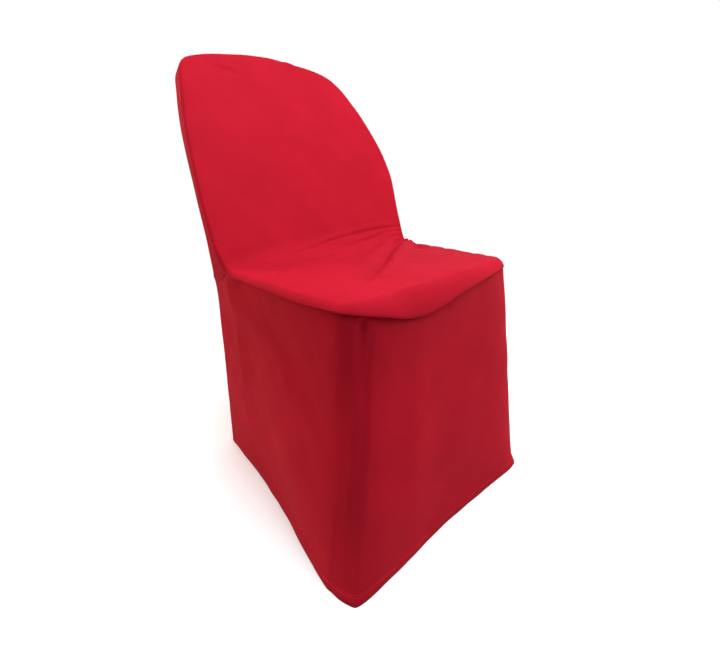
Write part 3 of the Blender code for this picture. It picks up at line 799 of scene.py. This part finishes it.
def add_ease(tree, source, span, ends):
    """Adds a smooth step between two numbers where the source's value goes through a span."""
    limits = {"From Min": span[0], "From Max": span[1], "To Min": ends[0], "To Max": ends[1]}
    settings = {"interpolation_type": "SMOOTHSTEP", **limits}
    return add_node(tree, "MapRange", settings, {"Value": source.outputs["Value"]})


def add_surface(tree, settings, links=None):
    """Adds the tree's surface shader and its output."""
    shader = add_node(tree, "BsdfPrincipled", settings, links)
    add_node(tree, "OutputMaterial", None, {"Surface": shader})


def knit_material(name):
    """Polyester and elastane jersey, circular knitted, dyed in the piece and stretched tight.

    To the eye it is matt and even, a little lighter at grazing angles where its fine fibres catch the
    light, with columns of tiny loops that only show close up.
    """
    settings = cloth_settings()
    material = bpy.data.materials.new(name)
    tree = empty_tree(material)
    flat = add_node(tree, "UVMap", {"uv_map": "flat_cloth"})
    # One loop column is about 0.7 mm wide in the real knit; it is drawn a little coarser so that it shows
    loop_size = (settings.loop_width, settings.loop_height, 1.0)
    loops = add_node(tree, "VectorMath", {"operation": "DIVIDE", 1: loop_size}, {0: flat})
    split = add_node(tree, "SeparateXYZ", None, {0: loops})
    column = add_math(tree, "PINGPONG", split.outputs[0], 0.5)
    slant = add_math(tree, "MULTIPLY_ADD", column, LOOP_SLANT, split.outputs[1])
    leg = add_math(tree, "SINE", add_math(tree, "MULTIPLY", slant, 2 * math.pi))
    ridge = add_math(tree, "MULTIPLY", column, LOOP_RIDGE)
    loop_height = add_math(tree, "MULTIPLY_ADD", leg, LOOP_LEG, ridge)
    # Fibre fuzz a few millimetres across, and clouds of slightly uneven dye about a hand wide
    fuzz_look = {"Scale": FUZZ_PER_METRE, "Detail": 3.0, "Roughness": 0.6}
    cloud_look = {"Scale": CLOUDS_PER_METRE, "Detail": 2.0, "Roughness": 0.5}
    fuzz = add_node(tree, "TexNoise", fuzz_look, {"Vector": flat})
    clouds = add_node(tree, "TexNoise", cloud_look, {"Vector": flat})
    tone = add_math(tree, "MULTIPLY_ADD", fuzz, FUZZ_IN_DYE, clouds)
    dye = add_node(tree, "MapRange", {"From Min": 0.45, "From Max": 0.80}, {"Value": tone})
    hues = {"data_type": "RGBA", 6: linear(settings.dark_hex), 7: linear(settings.cloth_hex)}
    colour = add_node(tree, "Mix", hues, {0: dye})
    fuzz_bump = add_node(tree, "Bump", {"Strength": 0.35, "Distance": 0.0004}, {"Height": fuzz})
    loop_bump = add_node(
        tree, "Bump", {"Strength": 0.45, "Distance": 0.00016}, {"Height": loop_height, "Normal": fuzz_bump}
    )
    look = {
        "Roughness": 0.78,
        "IOR": 1.46,
        "Specular IOR Level": 0.03,
        "Sheen Weight": 0.03,
        "Sheen Roughness": 0.45,
        "Sheen Tint": linear(settings.sheen_hex),
    }
    add_surface(tree, look, {"Base Color": colour.outputs[2], "Normal": loop_bump})
    return material


# The settings of each kind are made alike
def colour_setting(name, description, default):
    description += ", as an sRGB hex value"
    return bpy.props.StringProperty(name=name, description=description, default=default)


def length_setting(name, description, default, **limits):
    return bpy.props.FloatProperty(
        name=name, description=description, default=default, unit="LENGTH", **limits
    )


def power_setting(name, place, default):
    description = "Power of the softbox " + place
    return bpy.props.FloatProperty(name=name, description=description, default=default, min=0.0, unit="POWER")


def share_setting(name, description, default):
    return bpy.props.FloatProperty(name=name, description=description, default=default, min=0.0, max=2.0)


class CoverClothSettings(bpy.types.PropertyGroup):
    """Sizes and colours of the cloth."""

    cloth_hex: colour_setting("Cloth colour", "Colour of the dyed knit", "#920C1B")
    dark_hex: colour_setting("Deeper dye", "Colour where the dye took a little deeper", "#8B0B19")
    sheen_hex: colour_setting("Fibre sheen", "Colour of the light caught by the fibres", "#FF4070")
    thickness: length_setting("Thickness", "Thickness of the knit", 0.0010, min=0.0004, max=0.003)
    loop_width: length_setting("Loop width", "Width of one column of loops", 0.0011, min=0.0004)
    loop_height: length_setting("Loop height", "Height of one row of loops", 0.0009, min=0.0004)
    crease_strength: share_setting("Crease strength", "Share of the measured crease depth", 1.0)


class CoverStitchSettings(bpy.types.PropertyGroup):
    """Sizes of the sewing thread and its stitches."""

    thread_hex: colour_setting("Thread colour", "Colour of the sewing thread", "#B5152B")
    thread_radius: length_setting("Thread radius", "Half the thickness of the thread", 0.00022, min=0.0001)
    stitch_length: length_setting("Stitch length", "Length of one stitch", 0.0028, min=0.001)
    stitch_gap: length_setting("Stitch gap", "Gap between two stitches", 0.0009, min=0.0002)
    hem_depth: length_setting("Hem depth", "Height of the hem's upper stitches above its edge", 0.016)


class CoverStageSettings(bpy.types.PropertyGroup):
    """Floor and lights."""

    floor_hex: colour_setting("Floor colour", "Colour of the floor", "#E2E2E2")
    front_hex: colour_setting("Front light", "Cool daylight of the front and overhead softboxes", "#E0F8FF")
    side_hex: colour_setting("Side light", "Slightly warm light of the side softboxes", "#FFD4C4")
    room_light: share_setting("Room light", "Strength of the even light on the camera's side", 0.16)
    far_light: share_setting("Far light", "Strength of the wall of light behind the cover", 1.02)
    front_power: power_setting("Front softbox", "above the front", 23.3)
    overhead_power: power_setting("Overhead softbox", "overhead", 40.5)
    left_power: power_setting("Left softbox", "behind on the left", 24.5)
    right_power: power_setting("Right softbox", "on the right", 13.5)


def make_front_panel(outline):
    """Front face of the back and seat top in one, rolled over the edge to its seam all round."""
    crown_row, far_rows, front_row, near_rows = front_rows(outline)
    shares = (near_rows[0, 1] - near_rows[:, 1]) / (near_rows[0, 1] - near_rows[-1, 1])
    across_share = crowded(FRONT_COLUMNS, COLUMN_CROWDING)
    flat = near_rows[:, None, :2] + (far_rows - near_rows)[:, None, :2] * across_share[None, :, None]
    crown_rise = crown_row[:, 1] - flat[0, :, 1]
    front_rise = front_row[:, 1] - flat[-1, :, 1]
    flat[:, :, 1] += np.outer(soft_step(1 - shares / CROWN_SHARE), crown_rise)
    flat[:, :, 1] += np.outer(soft_step(1 - (1 - shares) / LIP_SHARE), front_rise)
    grid, _, normal = front_surface(flat[..., 0], flat[..., 1])
    grid = grid + normal * drift(flat[..., 0], flat[..., 1])[..., None]
    places = sum(border_of(len(shares) - 1, FRONT_COLUMNS), [])
    edge = np.vstack([crown_row, far_rows[1:], front_row[-2::-1], near_rows[-2:0:-1]])
    around = travelled(edge[:, :2])
    lift = drift(edge[:, 0], edge[:, 1])
    arc = (edge[:, 2] + edge[:, 3]) * ARC_SHARE
    rings = []
    for step in range(1, ROLL_STEPS + 1):
        share = step / ROLL_STEPS
        place, face, outward = turned_over(edge, share)
        from_seam = (1 - share) * arc
        bump = pucker(around, from_seam) + lift * (1 - share)
        bump = bump - SEAM_DIP * bell(from_seam / SEAM_REACH)
        rings.append((place + face * bump[:, None], edge[:, :2] + edge[:, 4:6] * arc[:, None] * share))
    last, last_flat = rings[-1]
    rings.append((last - outward * SEAM_ALLOWANCE, last_flat + edge[:, 4:6] * SEAM_ALLOWANCE))
    return cloth_piece(
        "front_panel_cloth", "front_panel", grid, flat, places, rings, True, False
    )


def rear_line():
    """The rear panel's middle line as a dense curve of (height, y), from the crown to the floor."""
    line = []
    for along, deep in POCKET_ROWS:
        height = SEAT_TOP + along * math.cos(BACK_LEAN) - deep * math.sin(BACK_LEAN)
        y = BACK_FOOT_Y + along * math.sin(BACK_LEAN) + deep * math.cos(BACK_LEAN)
        line.append((height, y))
    return smooth_rows(line + list(REAR_LINE))


def rear_surface(x, height):
    """The rear panel's outer face, which bridges the hollow at the foot of the back."""
    y = at(rear_line(), 0, height)[..., 1]
    near_middle = 1 - np.clip(np.abs(x) / BEND_HALF_WIDTH, 0, 1) ** 2
    bridge = REAR_BRIDGE * bell((height - REAR_BRIDGE_HEIGHT) / REAR_BRIDGE_REACH)
    return np.stack([x, y + bridge * near_middle, height], axis=-1)


def rear_height(along):
    """Height of the rear face behind this place along the back."""
    pocket = at(POCKET_ROWS, 0, along)[..., 1]
    return SEAT_TOP + along * math.cos(BACK_LEAN) - pocket * math.sin(BACK_LEAN)


def rear_side(rows):
    """One side of the rear panel, row by row: height, half width of its rear face, and its seam."""
    beside_back = rows[rows[:, 1] >= 0]
    seam = turned_over(beside_back, 1.0)[0]
    half_width = np.abs(beside_back[:, 0] + beside_back[:, 2] * beside_back[:, 4])
    upper = np.column_stack([rear_height(beside_back[:, 1]), half_width, np.abs(seam[:, 0]), seam[:, 1:]])
    below = smooth_rows(np.vstack([upper[-1:], REAR_EDGE]), spaced_by=5, steps=ROWS_PER_REAR_SPAN)
    return np.vstack([upper, below[1:]])


def skirt_seam(rear_rows):
    """The stretch of the rear panel's seam that the skirt hangs from, from the foot of the back down."""
    last = len(rear_rows) - (len(REAR_EDGE) - 1 - SKIRT_TOP_REAR_ROW) * ROWS_PER_REAR_SPAN
    return rear_rows[last - (SKIRT_TOP_REAR_ROW + 1) * ROWS_PER_REAR_SPAN : last, 2:5]


def make_rear_panel(outline):
    """Rear face from the crown to the floor, wrapped round the back's edge to the seam at its front."""
    _, front_far, _, front_near = front_rows(outline)
    near_rows = rear_side(front_near)
    far_rows = rear_side(front_far)
    rows = len(near_rows) - 1
    share = 1 - near_rows[:, 0] / near_rows[0, 0]
    across = np.linspace(0, 1, REAR_COLUMNS + 1)
    x = -(near_rows[:, 1] - REAR_ROUNDING)[:, None] * (1 - across)
    x = x + (far_rows[:, 1] - REAR_ROUNDING)[:, None] * across
    height = near_rows[:, 0:1] * (1 - across) + far_rows[:, 0:1] * across
    crown = split_edge(outline)[0]
    inside = crown.copy()
    inside[:, :2] -= REAR_ROUNDING * inside[:, 4:6]
    crown_row = at(inside, 0, x[0])
    rise = rear_height(crown_row[:, 1]) - height[0]
    height = height + np.outer(soft_step(1 - share / REAR_CROWN_SHARE), rise)
    grid = rear_surface(x, height)
    down = np.repeat(travelled(grid[:, REAR_COLUMNS // 2])[:, None], REAR_COLUMNS + 1, axis=1)
    flat = np.stack([x, -down], axis=-1)
    grid = grid - grid_normals(grid) * drift(x + REAR_DRIFT_START, down)[..., None]
    crown_seam = turned_over(at(crest_line(crown), 0, crown_row[:, 0]), 1.0)[0]
    places, (edge, edge_flat) = hung_border(grid, flat)
    seam = np.vstack([(near_rows[:, 2:5] * MIRROR)[::-1], crown_seam[1:-1], far_rows[:, 2:5]])
    across_to_seam = seam - edge
    lean = np.array([0.0, -math.cos(BACK_LEAN), math.sin(BACK_LEAN)])
    upright = soft_step((UPRIGHT_FROM - edge[:, 2:3]) / UPRIGHT_FADE)
    inward = unit(lean * (1 - upright) + np.array([0.0, -1.0, 0.0]) * upright)
    forward = inward * (across_to_seam * inward).sum(axis=1, keepdims=True)
    sideways = across_to_seam - forward
    outward = unit(sideways)
    depth = np.linalg.norm(forward, axis=1, keepdims=True)
    rounding = forward * np.minimum(1, REAR_ROUNDING / depth)
    around = travelled(seam)
    side_of = np.sign(edge_flat) * [1, 0]
    rings = []
    for step in range(1, ROLL_STEPS + 1):
        turned = math.pi / 2 * step / ROLL_STEPS
        place = edge + sideways * math.sin(turned) + rounding * (1 - math.cos(turned))
        rings.append((place, edge_flat + side_of * REAR_ROUNDING_FLAT * step / ROLL_STEPS))
    corner, corner_flat = rings[-1]
    for part in REAR_EDGE_SHARES:
        from_seam = (1 - part) * np.maximum(depth[:, 0] - REAR_ROUNDING, 0)
        bump = pucker(around + REAR_PUCKER_SHIFT, from_seam) * soft_step(part / REAR_PUCKER_FROM)
        bump = bump - SEAM_DIP * bell(from_seam / SEAM_REACH)
        place = corner * (1 - part) + seam * part + outward * bump[:, None]
        rings.append((place, corner_flat + side_of * REAR_EDGE_FLAT * part))
    last, last_flat = rings[-1]
    allowance = last - outward * SEAM_ALLOWANCE - inward * REAR_ALLOWANCE_STEP
    rings.append((allowance, last_flat + side_of * SEAM_ALLOWANCE))
    return cloth_piece(
        "rear_panel_cloth", "rear_panel", grid, flat, places, rings, False, True
    )


def skirt_top(outline):
    """The skirt's upper edge as x, y, z and inset: near side, near corner, front and far side."""
    _, far_rows, front_row, near_rows = front_rows(outline)
    near_seat, front, far_seat = [
        np.hstack([turned_over(rows, 1.0)[0], tuck_under(rows)])
        for rows in (near_rows[near_rows[:, 1] <= 0], front_row, far_rows[far_rows[:, 1] <= 0])
    ]
    near_rear = skirt_seam(rear_side(near_rows)) * MIRROR
    far_rear = skirt_seam(rear_side(far_rows))
    near_rear, far_rear = (np.pad(seam, ((0, 0), (0, 1))) for seam in (near_rear, far_rear))
    fold = np.searchsorted(front[:, 0], SKIRT_FOLD_X)
    near = np.vstack([near_rear[::-1], near_seat])
    corner = spread(front[: fold + 1], np.linspace(0, 1, CORNER_COLUMNS + 1))
    return near, corner, front[fold:], np.vstack([far_seat[::-1], far_rear])


def skirt_hem():
    """The hem in the four stretches under the skirt's upper edge, and the two front feet on it."""
    hem = smooth_rows([(x, y, HEM_HEIGHT) for x, y in HEM])
    rows = (HEM_NEAR_NOTCH_ROW, HEM_NEAR_CORNER_ROW, HEM_FAR_CORNER_ROW)
    notch, near_foot, far_foot = (row * OUTLINE_STEPS for row in rows)
    stretches = (hem[: notch + 1], hem[notch : near_foot + 1], hem[near_foot : far_foot + 1], hem[far_foot:])
    return stretches, (hem[near_foot], hem[far_foot])


def bowed_band(outline, upper, lower, down, place):
    """Straight columns from edge to edge, bowed at the band's ends to the rear panel's seams."""
    grid = upper * (1 - down) + lower * down
    _, far_rows, _, near_rows = front_rows(outline)
    near_edge = at(rear_side(near_rows)[:, 2:5], 2, grid[:, 0, 2]) * MIRROR
    far_edge = at(rear_side(far_rows)[:, 2:5], 2, grid[:, -1, 2])
    for edge, column, from_end in ((near_edge, 0, place), (far_edge, -1, 1 - place)):
        grid = grid + (edge - grid[:, column])[:, None] * soft_step(1 - from_end / BOW_SHARE)[..., None]
    return grid


def level_outward(grid, length):
    """The level direction out of the skirt, which turns slowly from column to column."""
    ahead = np.gradient(grid, axis=1)
    outward = unit(np.stack([ahead[..., 1], -ahead[..., 0], np.zeros(ahead.shape[:2])], axis=-1))
    closeness = bell((length[:, None] - length) / TURN_REACH) * np.gradient(length)
    return unit(np.einsum("jk,rkc->rjc", closeness, outward))


def foot_draw(lower, feet, down):
    """How far the skirt draws in above the front feet, before its hem comes out again."""
    to_foot = np.minimum(*(np.linalg.norm(lower - foot, axis=1) for foot in feet))
    back_out = soft_step((down - 1 + FOOT_KICK_SHARE) / FOOT_KICK_SHARE)
    return FOOT_KICK * bell(to_foot / FOOT_KICK_WIDTH) * (down - back_out)


def corner_fold(beyond, down):
    """Depth of the fold at the near front corner, by the distance along the band beyond it."""
    leading = soft_step(1 + beyond / FOLD_NEAR_WIDTH)
    trailing = bell(np.maximum(beyond, 0) / FOLD_FRONT_WIDTH)
    return FOLD_DEPTH * between_fades(down, FOLD_TOP_FADE, FOLD_HEM_FADE) * leading * trailing


def corner_draw(from_middle, down):
    """Depth of the draw under the seat's near corner, by the distance along the band from its middle."""
    fade = soft_step(down / CORNER_DRAW_FROM) * soft_step((CORNER_DRAW_END - down) / CORNER_DRAW_FADE)
    return CORNER_DRAW * fade * bell(from_middle / CORNER_DRAW_WIDTH)


def skirt_grid(outline):
    """One band from the near rear seam round the front to the far rear seam, falling to the hem."""
    stretches, feet = skirt_hem()
    upper = []
    lower = []
    for above, below in zip(skirt_top(outline), stretches):
        length = travelled(above[:, :3])
        upper.append(above[bool(upper) :])
        lower.append(spread(below, length / length[-1])[bool(lower) :])
    corner_column = len(upper[0]) - 1
    foot_column = corner_column + len(upper[1])
    upper = np.vstack(upper)
    lower = np.vstack(lower)
    upper, inset = upper[:, :3], upper[:, 3]
    length = travelled(lower)
    place = length[None, :] / length[-1]
    down = np.linspace(0, 1, SKIRT_ROWS + 1)[:, None]
    down = down - SKIRT_TOP_CROWDING * down * (1 - down)
    grid = bowed_band(outline, upper, lower, down[..., None], place)
    outward = level_outward(grid, length)

    draw = np.interp(place, *np.transpose(UNDERCUT))
    shift = -draw * soft_step(down / UNDERCUT_DEPTH) * soft_step((UNDERCUT_END - down) / UNDERCUT_EASE)
    shift = shift - foot_draw(lower, feet, down)
    for height, width, start, sway in SKIRT_WAVES:
        fade = between_fades(down, WAVE_TOP_FADE, WAVE_HEM_FADE)
        shift = shift + height * fade * bell((place - start - sway * down) / width)
    shift = shift - corner_fold(length - length[foot_column], down)
    corner_middle = (length[corner_column] + length[foot_column]) / 2
    shift = shift - corner_draw(length - corner_middle, down)
    from_top = down * SKIRT_FALL
    shift = shift - crease_depth(*np.broadcast_arrays(length, from_top), SKIRT_BENDS)
    shift = shift * between_fades(place, HELD_SHARE, HELD_SHARE)

    back_out = np.interp(place, *np.transpose(INSET_RETURN))
    shift = shift + inset * (1 - down) * soft_step(down / back_out)
    shift = shift + drift(length, from_top) + pucker(travelled(upper), from_top)
    shift = shift - SEAM_DIP * bell(from_top / SEAM_REACH)
    # The hem's doubled cloth stands a little proud up to its stitch line
    hem_depth = bpy.context.scene.chair_cover_stitches.hem_depth
    shift = shift + HEM_RISE * soft_step((hem_depth + HEM_RISE_EASE - grid[..., 2]) / HEM_RISE_EASE)
    flat = np.stack(np.broadcast_arrays(length, -from_top), axis=-1)
    return grid + outward * shift[..., None], flat, outward


def make_skirt(outline):
    grid, flat, outward = skirt_grid(outline)
    places, (edge, edge_flat, edge_out) = hung_border(grid, flat, outward)
    tucked = [(edge - edge_out * SEAM_ALLOWANCE, edge_flat + [0, SKIRT_ALLOWANCE_FLAT])]
    return cloth_piece("skirt_cloth", "skirt", grid, flat, places, tucked, False, False)


def stitched(name, line, facing, material):
    """A row of short stitches along a line of points, each sunk into the cloth at its ends."""
    settings = bpy.context.scene.chair_cover_stitches
    length = travelled(line)
    pitch = settings.stitch_length + settings.stitch_gap
    middle = (np.arange(int(length[-1] / pitch)) + 0.5) * pitch
    place, front_end, back_end = (
        between_rows(middle + off, length, line) for off in (0, pitch / 2, -pitch / 2)
    )
    ahead = unit(front_end - back_end)
    face = unit(between_rows(middle, length, facing))
    sideways = unit(np.cross(ahead, face))
    turns = np.linspace(0, 2 * math.pi, THREAD_SIDES + 1)[:-1]
    radius = settings.thread_radius
    half = settings.stitch_length / 2
    rings = []
    for along, wide, sink in STITCH_RINGS:
        centre = place + ahead * half * along - face * radius * sink
        ring = [centre + (sideways * math.cos(a) + face * math.sin(a)) * radius * wide for a in turns]
        rings.append(np.stack(ring, axis=1))
    points = np.stack(rings, axis=1)
    index = np.arange(points.size // 3).reshape(points.shape[:3])
    following = np.roll(index, -1, axis=2)
    sides = np.stack([index[:, :-1], index[:, 1:], following[:, 1:], following[:, :-1]], axis=-1)
    sides = sides.reshape(-1, 4)
    caps = np.vstack([index[:, 0], index[:, -1, ::-1]])
    mesh = bpy.data.meshes.new(name)
    mesh.from_pydata((points.reshape(-1, 3) - BEARING_POINT).tolist(), [], sides.tolist() + caps.tolist())
    mesh.shade_smooth()
    mesh.materials.append(material)
    obj = add_object(name, mesh)
    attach(obj, BODY)
    return obj


def thread_material():
    """Spun polyester sewing thread, dyed to the cloth: matt, with a faint gloss along its twist."""
    material = bpy.data.materials.new("spun_polyester_thread")
    colour = linear(bpy.context.scene.chair_cover_stitches.thread_hex)
    look = {"Roughness": 0.6, "IOR": 1.5, "Specular IOR Level": 0.15, "Sheen Weight": 0.05}
    add_surface(empty_tree(material), {"Base Color": colour, **look})
    return material


def make_hem_stitches(outline):
    """Twin rows of stitches above the hem, round the skirt and across the rear panel."""
    thread = thread_material()
    depth = bpy.context.scene.chair_cover_stitches.hem_depth
    grid, _, outward = skirt_grid(outline)
    columns, faces = (
        values[::-1, HEM_ROW_START:-HEM_ROW_START].swapaxes(0, 1) for values in (grid, outward)
    )
    _, far_rows, _, near_rows = front_rows(outline)
    for row, height in (("upper", depth), ("lower", depth - HEM_ROW_GAP)):
        line, facing = (
            np.array([between_rows(height, up[:, 2], values) for up, values in zip(columns, among)])
            for among in (columns, faces)
        )
        line = line + facing * THREAD_LIFT
        stitched("skirt_hem_stitches_" + row, line, facing, thread)
        near, far = (at(rear_side(rows), 0, height)[1] - REAR_ROUNDING for rows in (near_rows, far_rows))
        x = np.linspace(-near, far, REAR_HEM_POINTS)
        line = rear_surface(x, np.full(REAR_HEM_POINTS, height)) + [0, THREAD_LIFT, 0]
        facing = np.tile(REAR_HEM_FACING, (REAR_HEM_POINTS, 1))
        stitched("rear_hem_stitches_" + row, line, facing, thread)


def make_seam_stitches(outline):
    """Stitches of the seam that joins the front panel to the rear panel and the skirt."""
    crown_row, far_rows, front_row, near_rows = front_rows(outline)
    edge = np.vstack([crown_row, far_rows[1:], front_row[-2::-1], near_rows[-2:0:-1], crown_row[:1]])
    line, face, _ = turned_over(edge, EDGE_SEAM_SHARE)
    line = line - face * EDGE_SEAM_SINK
    stitched("edge_seam_stitches", line, face, thread_material())


def make_sole(node):
    """A foot pocket's flat patch, fanned out from its middle to the outline of its solid."""
    corners = np.array([vertex.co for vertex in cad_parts[node].data.vertices])
    floor = corners[corners[:, 2] < corners[:, 2].min() + SAME_HEIGHT]
    floor = np.unique(np.round(floor, 5), axis=0)
    middle = floor.mean(axis=0)
    turn = np.arctan2(floor[:, 1] - middle[1], floor[:, 0] - middle[0])
    ring = floor[np.argsort(turn)]
    shares = np.linspace(SOLE_START, 1.0, SOLE_RINGS)
    grid = middle + (ring[None] - middle) * shares[:, None, None]
    grid = np.concatenate([grid, grid[:, :1]], axis=1)
    grid[..., 2] += SOLE_LIFT
    grid = grid + BEARING_POINT
    return cloth_piece(node + "_cloth", node, grid, grid[..., :2], [], [], False, False)


class CoverOperator:
    """What the cover's operators share."""

    bl_options = {"REGISTER", "UNDO"}


class OBJECT_OT_cover_front_panel(CoverOperator, bpy.types.Operator):
    """Makes the front panel: back and seat in one length of cloth"""

    bl_idname = "object.cover_front_panel"
    bl_label = "Front panel"

    def execute(self, context):
        piece = make_front_panel(front_edge())
        piece.data.materials.append(knit_material("stretch_jersey_front"))
        return {"FINISHED"}


class OBJECT_OT_cover_rear_panel(CoverOperator, bpy.types.Operator):
    """Makes the rear panel: the back's rear face down to the floor"""

    bl_idname = "object.cover_rear_panel"
    bl_label = "Rear panel"

    def execute(self, context):
        piece = make_rear_panel(front_edge())
        piece.data.materials.append(knit_material("stretch_jersey_rear"))
        return {"FINISHED"}


class OBJECT_OT_cover_skirt(CoverOperator, bpy.types.Operator):
    """Makes the skirt: near side, front and far side in one band"""

    bl_idname = "object.cover_skirt"
    bl_label = "Skirt"

    def execute(self, context):
        piece = make_skirt(front_edge())
        piece.data.materials.append(knit_material("stretch_jersey_skirt"))
        return {"FINISHED"}


class OBJECT_OT_cover_foot_soles(CoverOperator, bpy.types.Operator):
    """Makes the four flat patches of the foot pockets"""

    bl_idname = "object.cover_foot_soles"
    bl_label = "Foot soles"

    def execute(self, context):
        knit = knit_material("stretch_jersey_soles")
        for foot in ("near_front", "far_front", "near_rear", "far_rear"):
            piece = make_sole("foot_sole_" + foot)
            piece.data.materials.append(knit)
        return {"FINISHED"}


class OBJECT_OT_cover_stitches(CoverOperator, bpy.types.Operator):
    """Makes the stitches of the hem and of the edge seam"""

    bl_idname = "object.cover_stitches"
    bl_label = "Stitches"

    def execute(self, context):
        make_hem_stitches(front_edge())
        make_seam_stitches(front_edge())
        return {"FINISHED"}


class OBJECT_OT_cover_stage(CoverOperator, bpy.types.Operator):
    """Makes the floor, the lights and the camera"""

    bl_idname = "object.cover_stage"
    bl_label = "Stage"

    def execute(self, context):
        settings = context.scene.chair_cover_stage
        make_floor(settings)
        make_studio(settings)
        make_camera()
        return {"FINISHED"}


def make_floor(settings):
    """Plain pale round floor that fades out into the studio's white."""
    turns = np.linspace(0, 2 * math.pi, FLOOR_CORNERS + 1)[:-1]
    rim = [(FLOOR_REACH * math.cos(turn), FLOOR_REACH * math.sin(turn), 0.0) for turn in turns]
    mesh = bpy.data.meshes.new("floor")
    mesh.from_pydata(rim, [], [tuple(range(len(rim)))])
    floor = add_object("floor", mesh)
    floor.location.z = -BEARING_POINT[2] - FLOOR_GAP
    floor.location.y = -BEARING_POINT[1]
    # Matt painted board: it only scatters light
    material = bpy.data.materials.new("matt_painted_floor")
    tree = empty_tree(material)
    place = add_node(tree, "TexCoord")
    distance = add_node(tree, "VectorMath", {"operation": "LENGTH"}, {0: place.outputs["Object"]})
    fade = add_ease(tree, distance, (FLOOR_FADE, FLOOR_REACH), (1.0, 0.0))
    look = {"Base Color": linear(settings.floor_hex), "Roughness": 0.9, "Specular IOR Level": 0.05}
    add_surface(tree, look, {"Alpha": fade})
    mesh.materials.append(material)


def make_light(name, place, aim, size, power, hex_colour):
    """A rectangular softbox, its place and aim given with the floor at height zero."""
    light = bpy.data.lights.new(name, "AREA")
    light.shape = "RECTANGLE"
    light.size, light.size_y = size
    light.energy = power
    light.color = linear(hex_colour)[:3]
    lamp = add_object(name, light)
    lamp.location = Vector(place) - Vector(BEARING_POINT)
    lamp.rotation_mode = "QUATERNION"
    lamp.rotation_quaternion = (Vector(aim) - Vector(place)).to_track_quat("-Z", "Y")


def make_studio(settings):
    """Softboxes round the cover and an even white studio, brighter behind it."""
    for name, place, aim, size, hue in LIGHTS:
        make_light(
            name + "_softbox", place, aim, size, getattr(settings, name + "_power"), getattr(settings, hue)
        )
    world = bpy.data.worlds.new("studio")
    tree = empty_tree(world)
    place = add_node(tree, "TexCoord")
    away = add_node(
        tree, "VectorMath", {"operation": "DOT_PRODUCT", 1: LIT_SIDE}, {0: place.outputs["Generated"]}
    )
    side = add_ease(tree, away, (LIT_FROM, LIT_TO), (settings.room_light, settings.far_light))
    light = add_node(tree, "Background", {"Color": linear("#FFFFFF")}, {"Strength": side})
    add_node(tree, "OutputWorld", None, {"Surface": light})
    bpy.context.scene.world = world
    bpy.context.scene.view_settings.view_transform = "Standard"
    bpy.context.scene.view_settings.look = "None"


# Camera at the photo's angle, worked out from the cover's outline: azimuth and elevation of its place
# seen from the target, distance, and its focal length and picture centre in pixels of a 720 px frame
CAMERA_AZIMUTH = -0.779
CAMERA_ELEVATION = 0.287
CAMERA_DISTANCE = 0.690
CAMERA_TARGET = np.array([0.0, -0.119, 0.409])
CAMERA_ROLL = -0.005
FOCAL_PIXELS = 399.7
CENTRE_PIXELS = (398.8, 289.0)
FRAME_PIXELS = (720, 660)
SENSOR = 36.0


def make_camera():
    data = bpy.data.cameras.new("camera")
    data.sensor_width = SENSOR
    data.lens = FOCAL_PIXELS / FRAME_PIXELS[0] * SENSOR
    data.shift_x = (FRAME_PIXELS[0] / 2 - CENTRE_PIXELS[0]) / FRAME_PIXELS[0]
    data.shift_y = (CENTRE_PIXELS[1] - FRAME_PIXELS[1] / 2) / FRAME_PIXELS[0]
    data.clip_start = 0.01
    camera = add_object("camera", data)
    level = math.cos(CAMERA_ELEVATION)
    back = Vector(
        (math.sin(CAMERA_AZIMUTH) * level, -math.cos(CAMERA_AZIMUTH) * level, math.sin(CAMERA_ELEVATION))
    )
    camera.location = Vector(CAMERA_TARGET - BEARING_POINT) + back * CAMERA_DISTANCE
    camera.rotation_mode = "QUATERNION"
    turn = (-back).to_track_quat("-Z", "Y")
    turn.rotate(Quaternion(back, CAMERA_ROLL))
    camera.rotation_quaternion = turn
    bpy.context.scene.camera = camera


class VIEW3D_PT_chair_cover(bpy.types.Panel):
    """Lists the cover's settings and the buttons that make its pieces"""

    bl_label = "Chair Cover"
    bl_idname = "VIEW3D_PT_chair_cover"
    bl_space_type = "VIEW_3D"
    bl_region_type = "UI"
    bl_category = "Chair Cover"

    def draw(self, context):
        for group in ("chair_cover_cloth", "chair_cover_stitches", "chair_cover_stage"):
            box = self.layout.box()
            settings = getattr(context.scene, group)
            for name in settings.__annotations__:
                box.prop(settings, name)
        for operator in OPERATORS:
            self.layout.operator(operator.bl_idname)


OPERATORS = (
    OBJECT_OT_cover_stitches,
    OBJECT_OT_cover_front_panel,
    OBJECT_OT_cover_rear_panel,
    OBJECT_OT_cover_skirt,
    OBJECT_OT_cover_foot_soles,
    OBJECT_OT_cover_stage,
)
CLASSES = (CoverClothSettings, CoverStitchSettings, CoverStageSettings) + OPERATORS + (VIEW3D_PT_chair_cover,)


def register():
    for cls in CLASSES:
        bpy.utils.register_class(cls)
    bpy.types.Scene.chair_cover_cloth = bpy.props.PointerProperty(type=CoverClothSettings)
    bpy.types.Scene.chair_cover_stitches = bpy.props.PointerProperty(type=CoverStitchSettings)
    bpy.types.Scene.chair_cover_stage = bpy.props.PointerProperty(type=CoverStageSettings)


def unregister():
    del bpy.types.Scene.chair_cover_stage
    del bpy.types.Scene.chair_cover_stitches
    del bpy.types.Scene.chair_cover_cloth
    for cls in reversed(CLASSES):
        bpy.utils.unregister_class(cls)


def main():
    register()
    bpy.ops.object.cover_stitches()
    bpy.ops.object.cover_front_panel()
    bpy.ops.object.cover_rear_panel()
    bpy.ops.object.cover_skirt()
    bpy.ops.object.cover_foot_soles()
    bpy.ops.object.cover_stage()


if __name__ == "__main__":
    main()
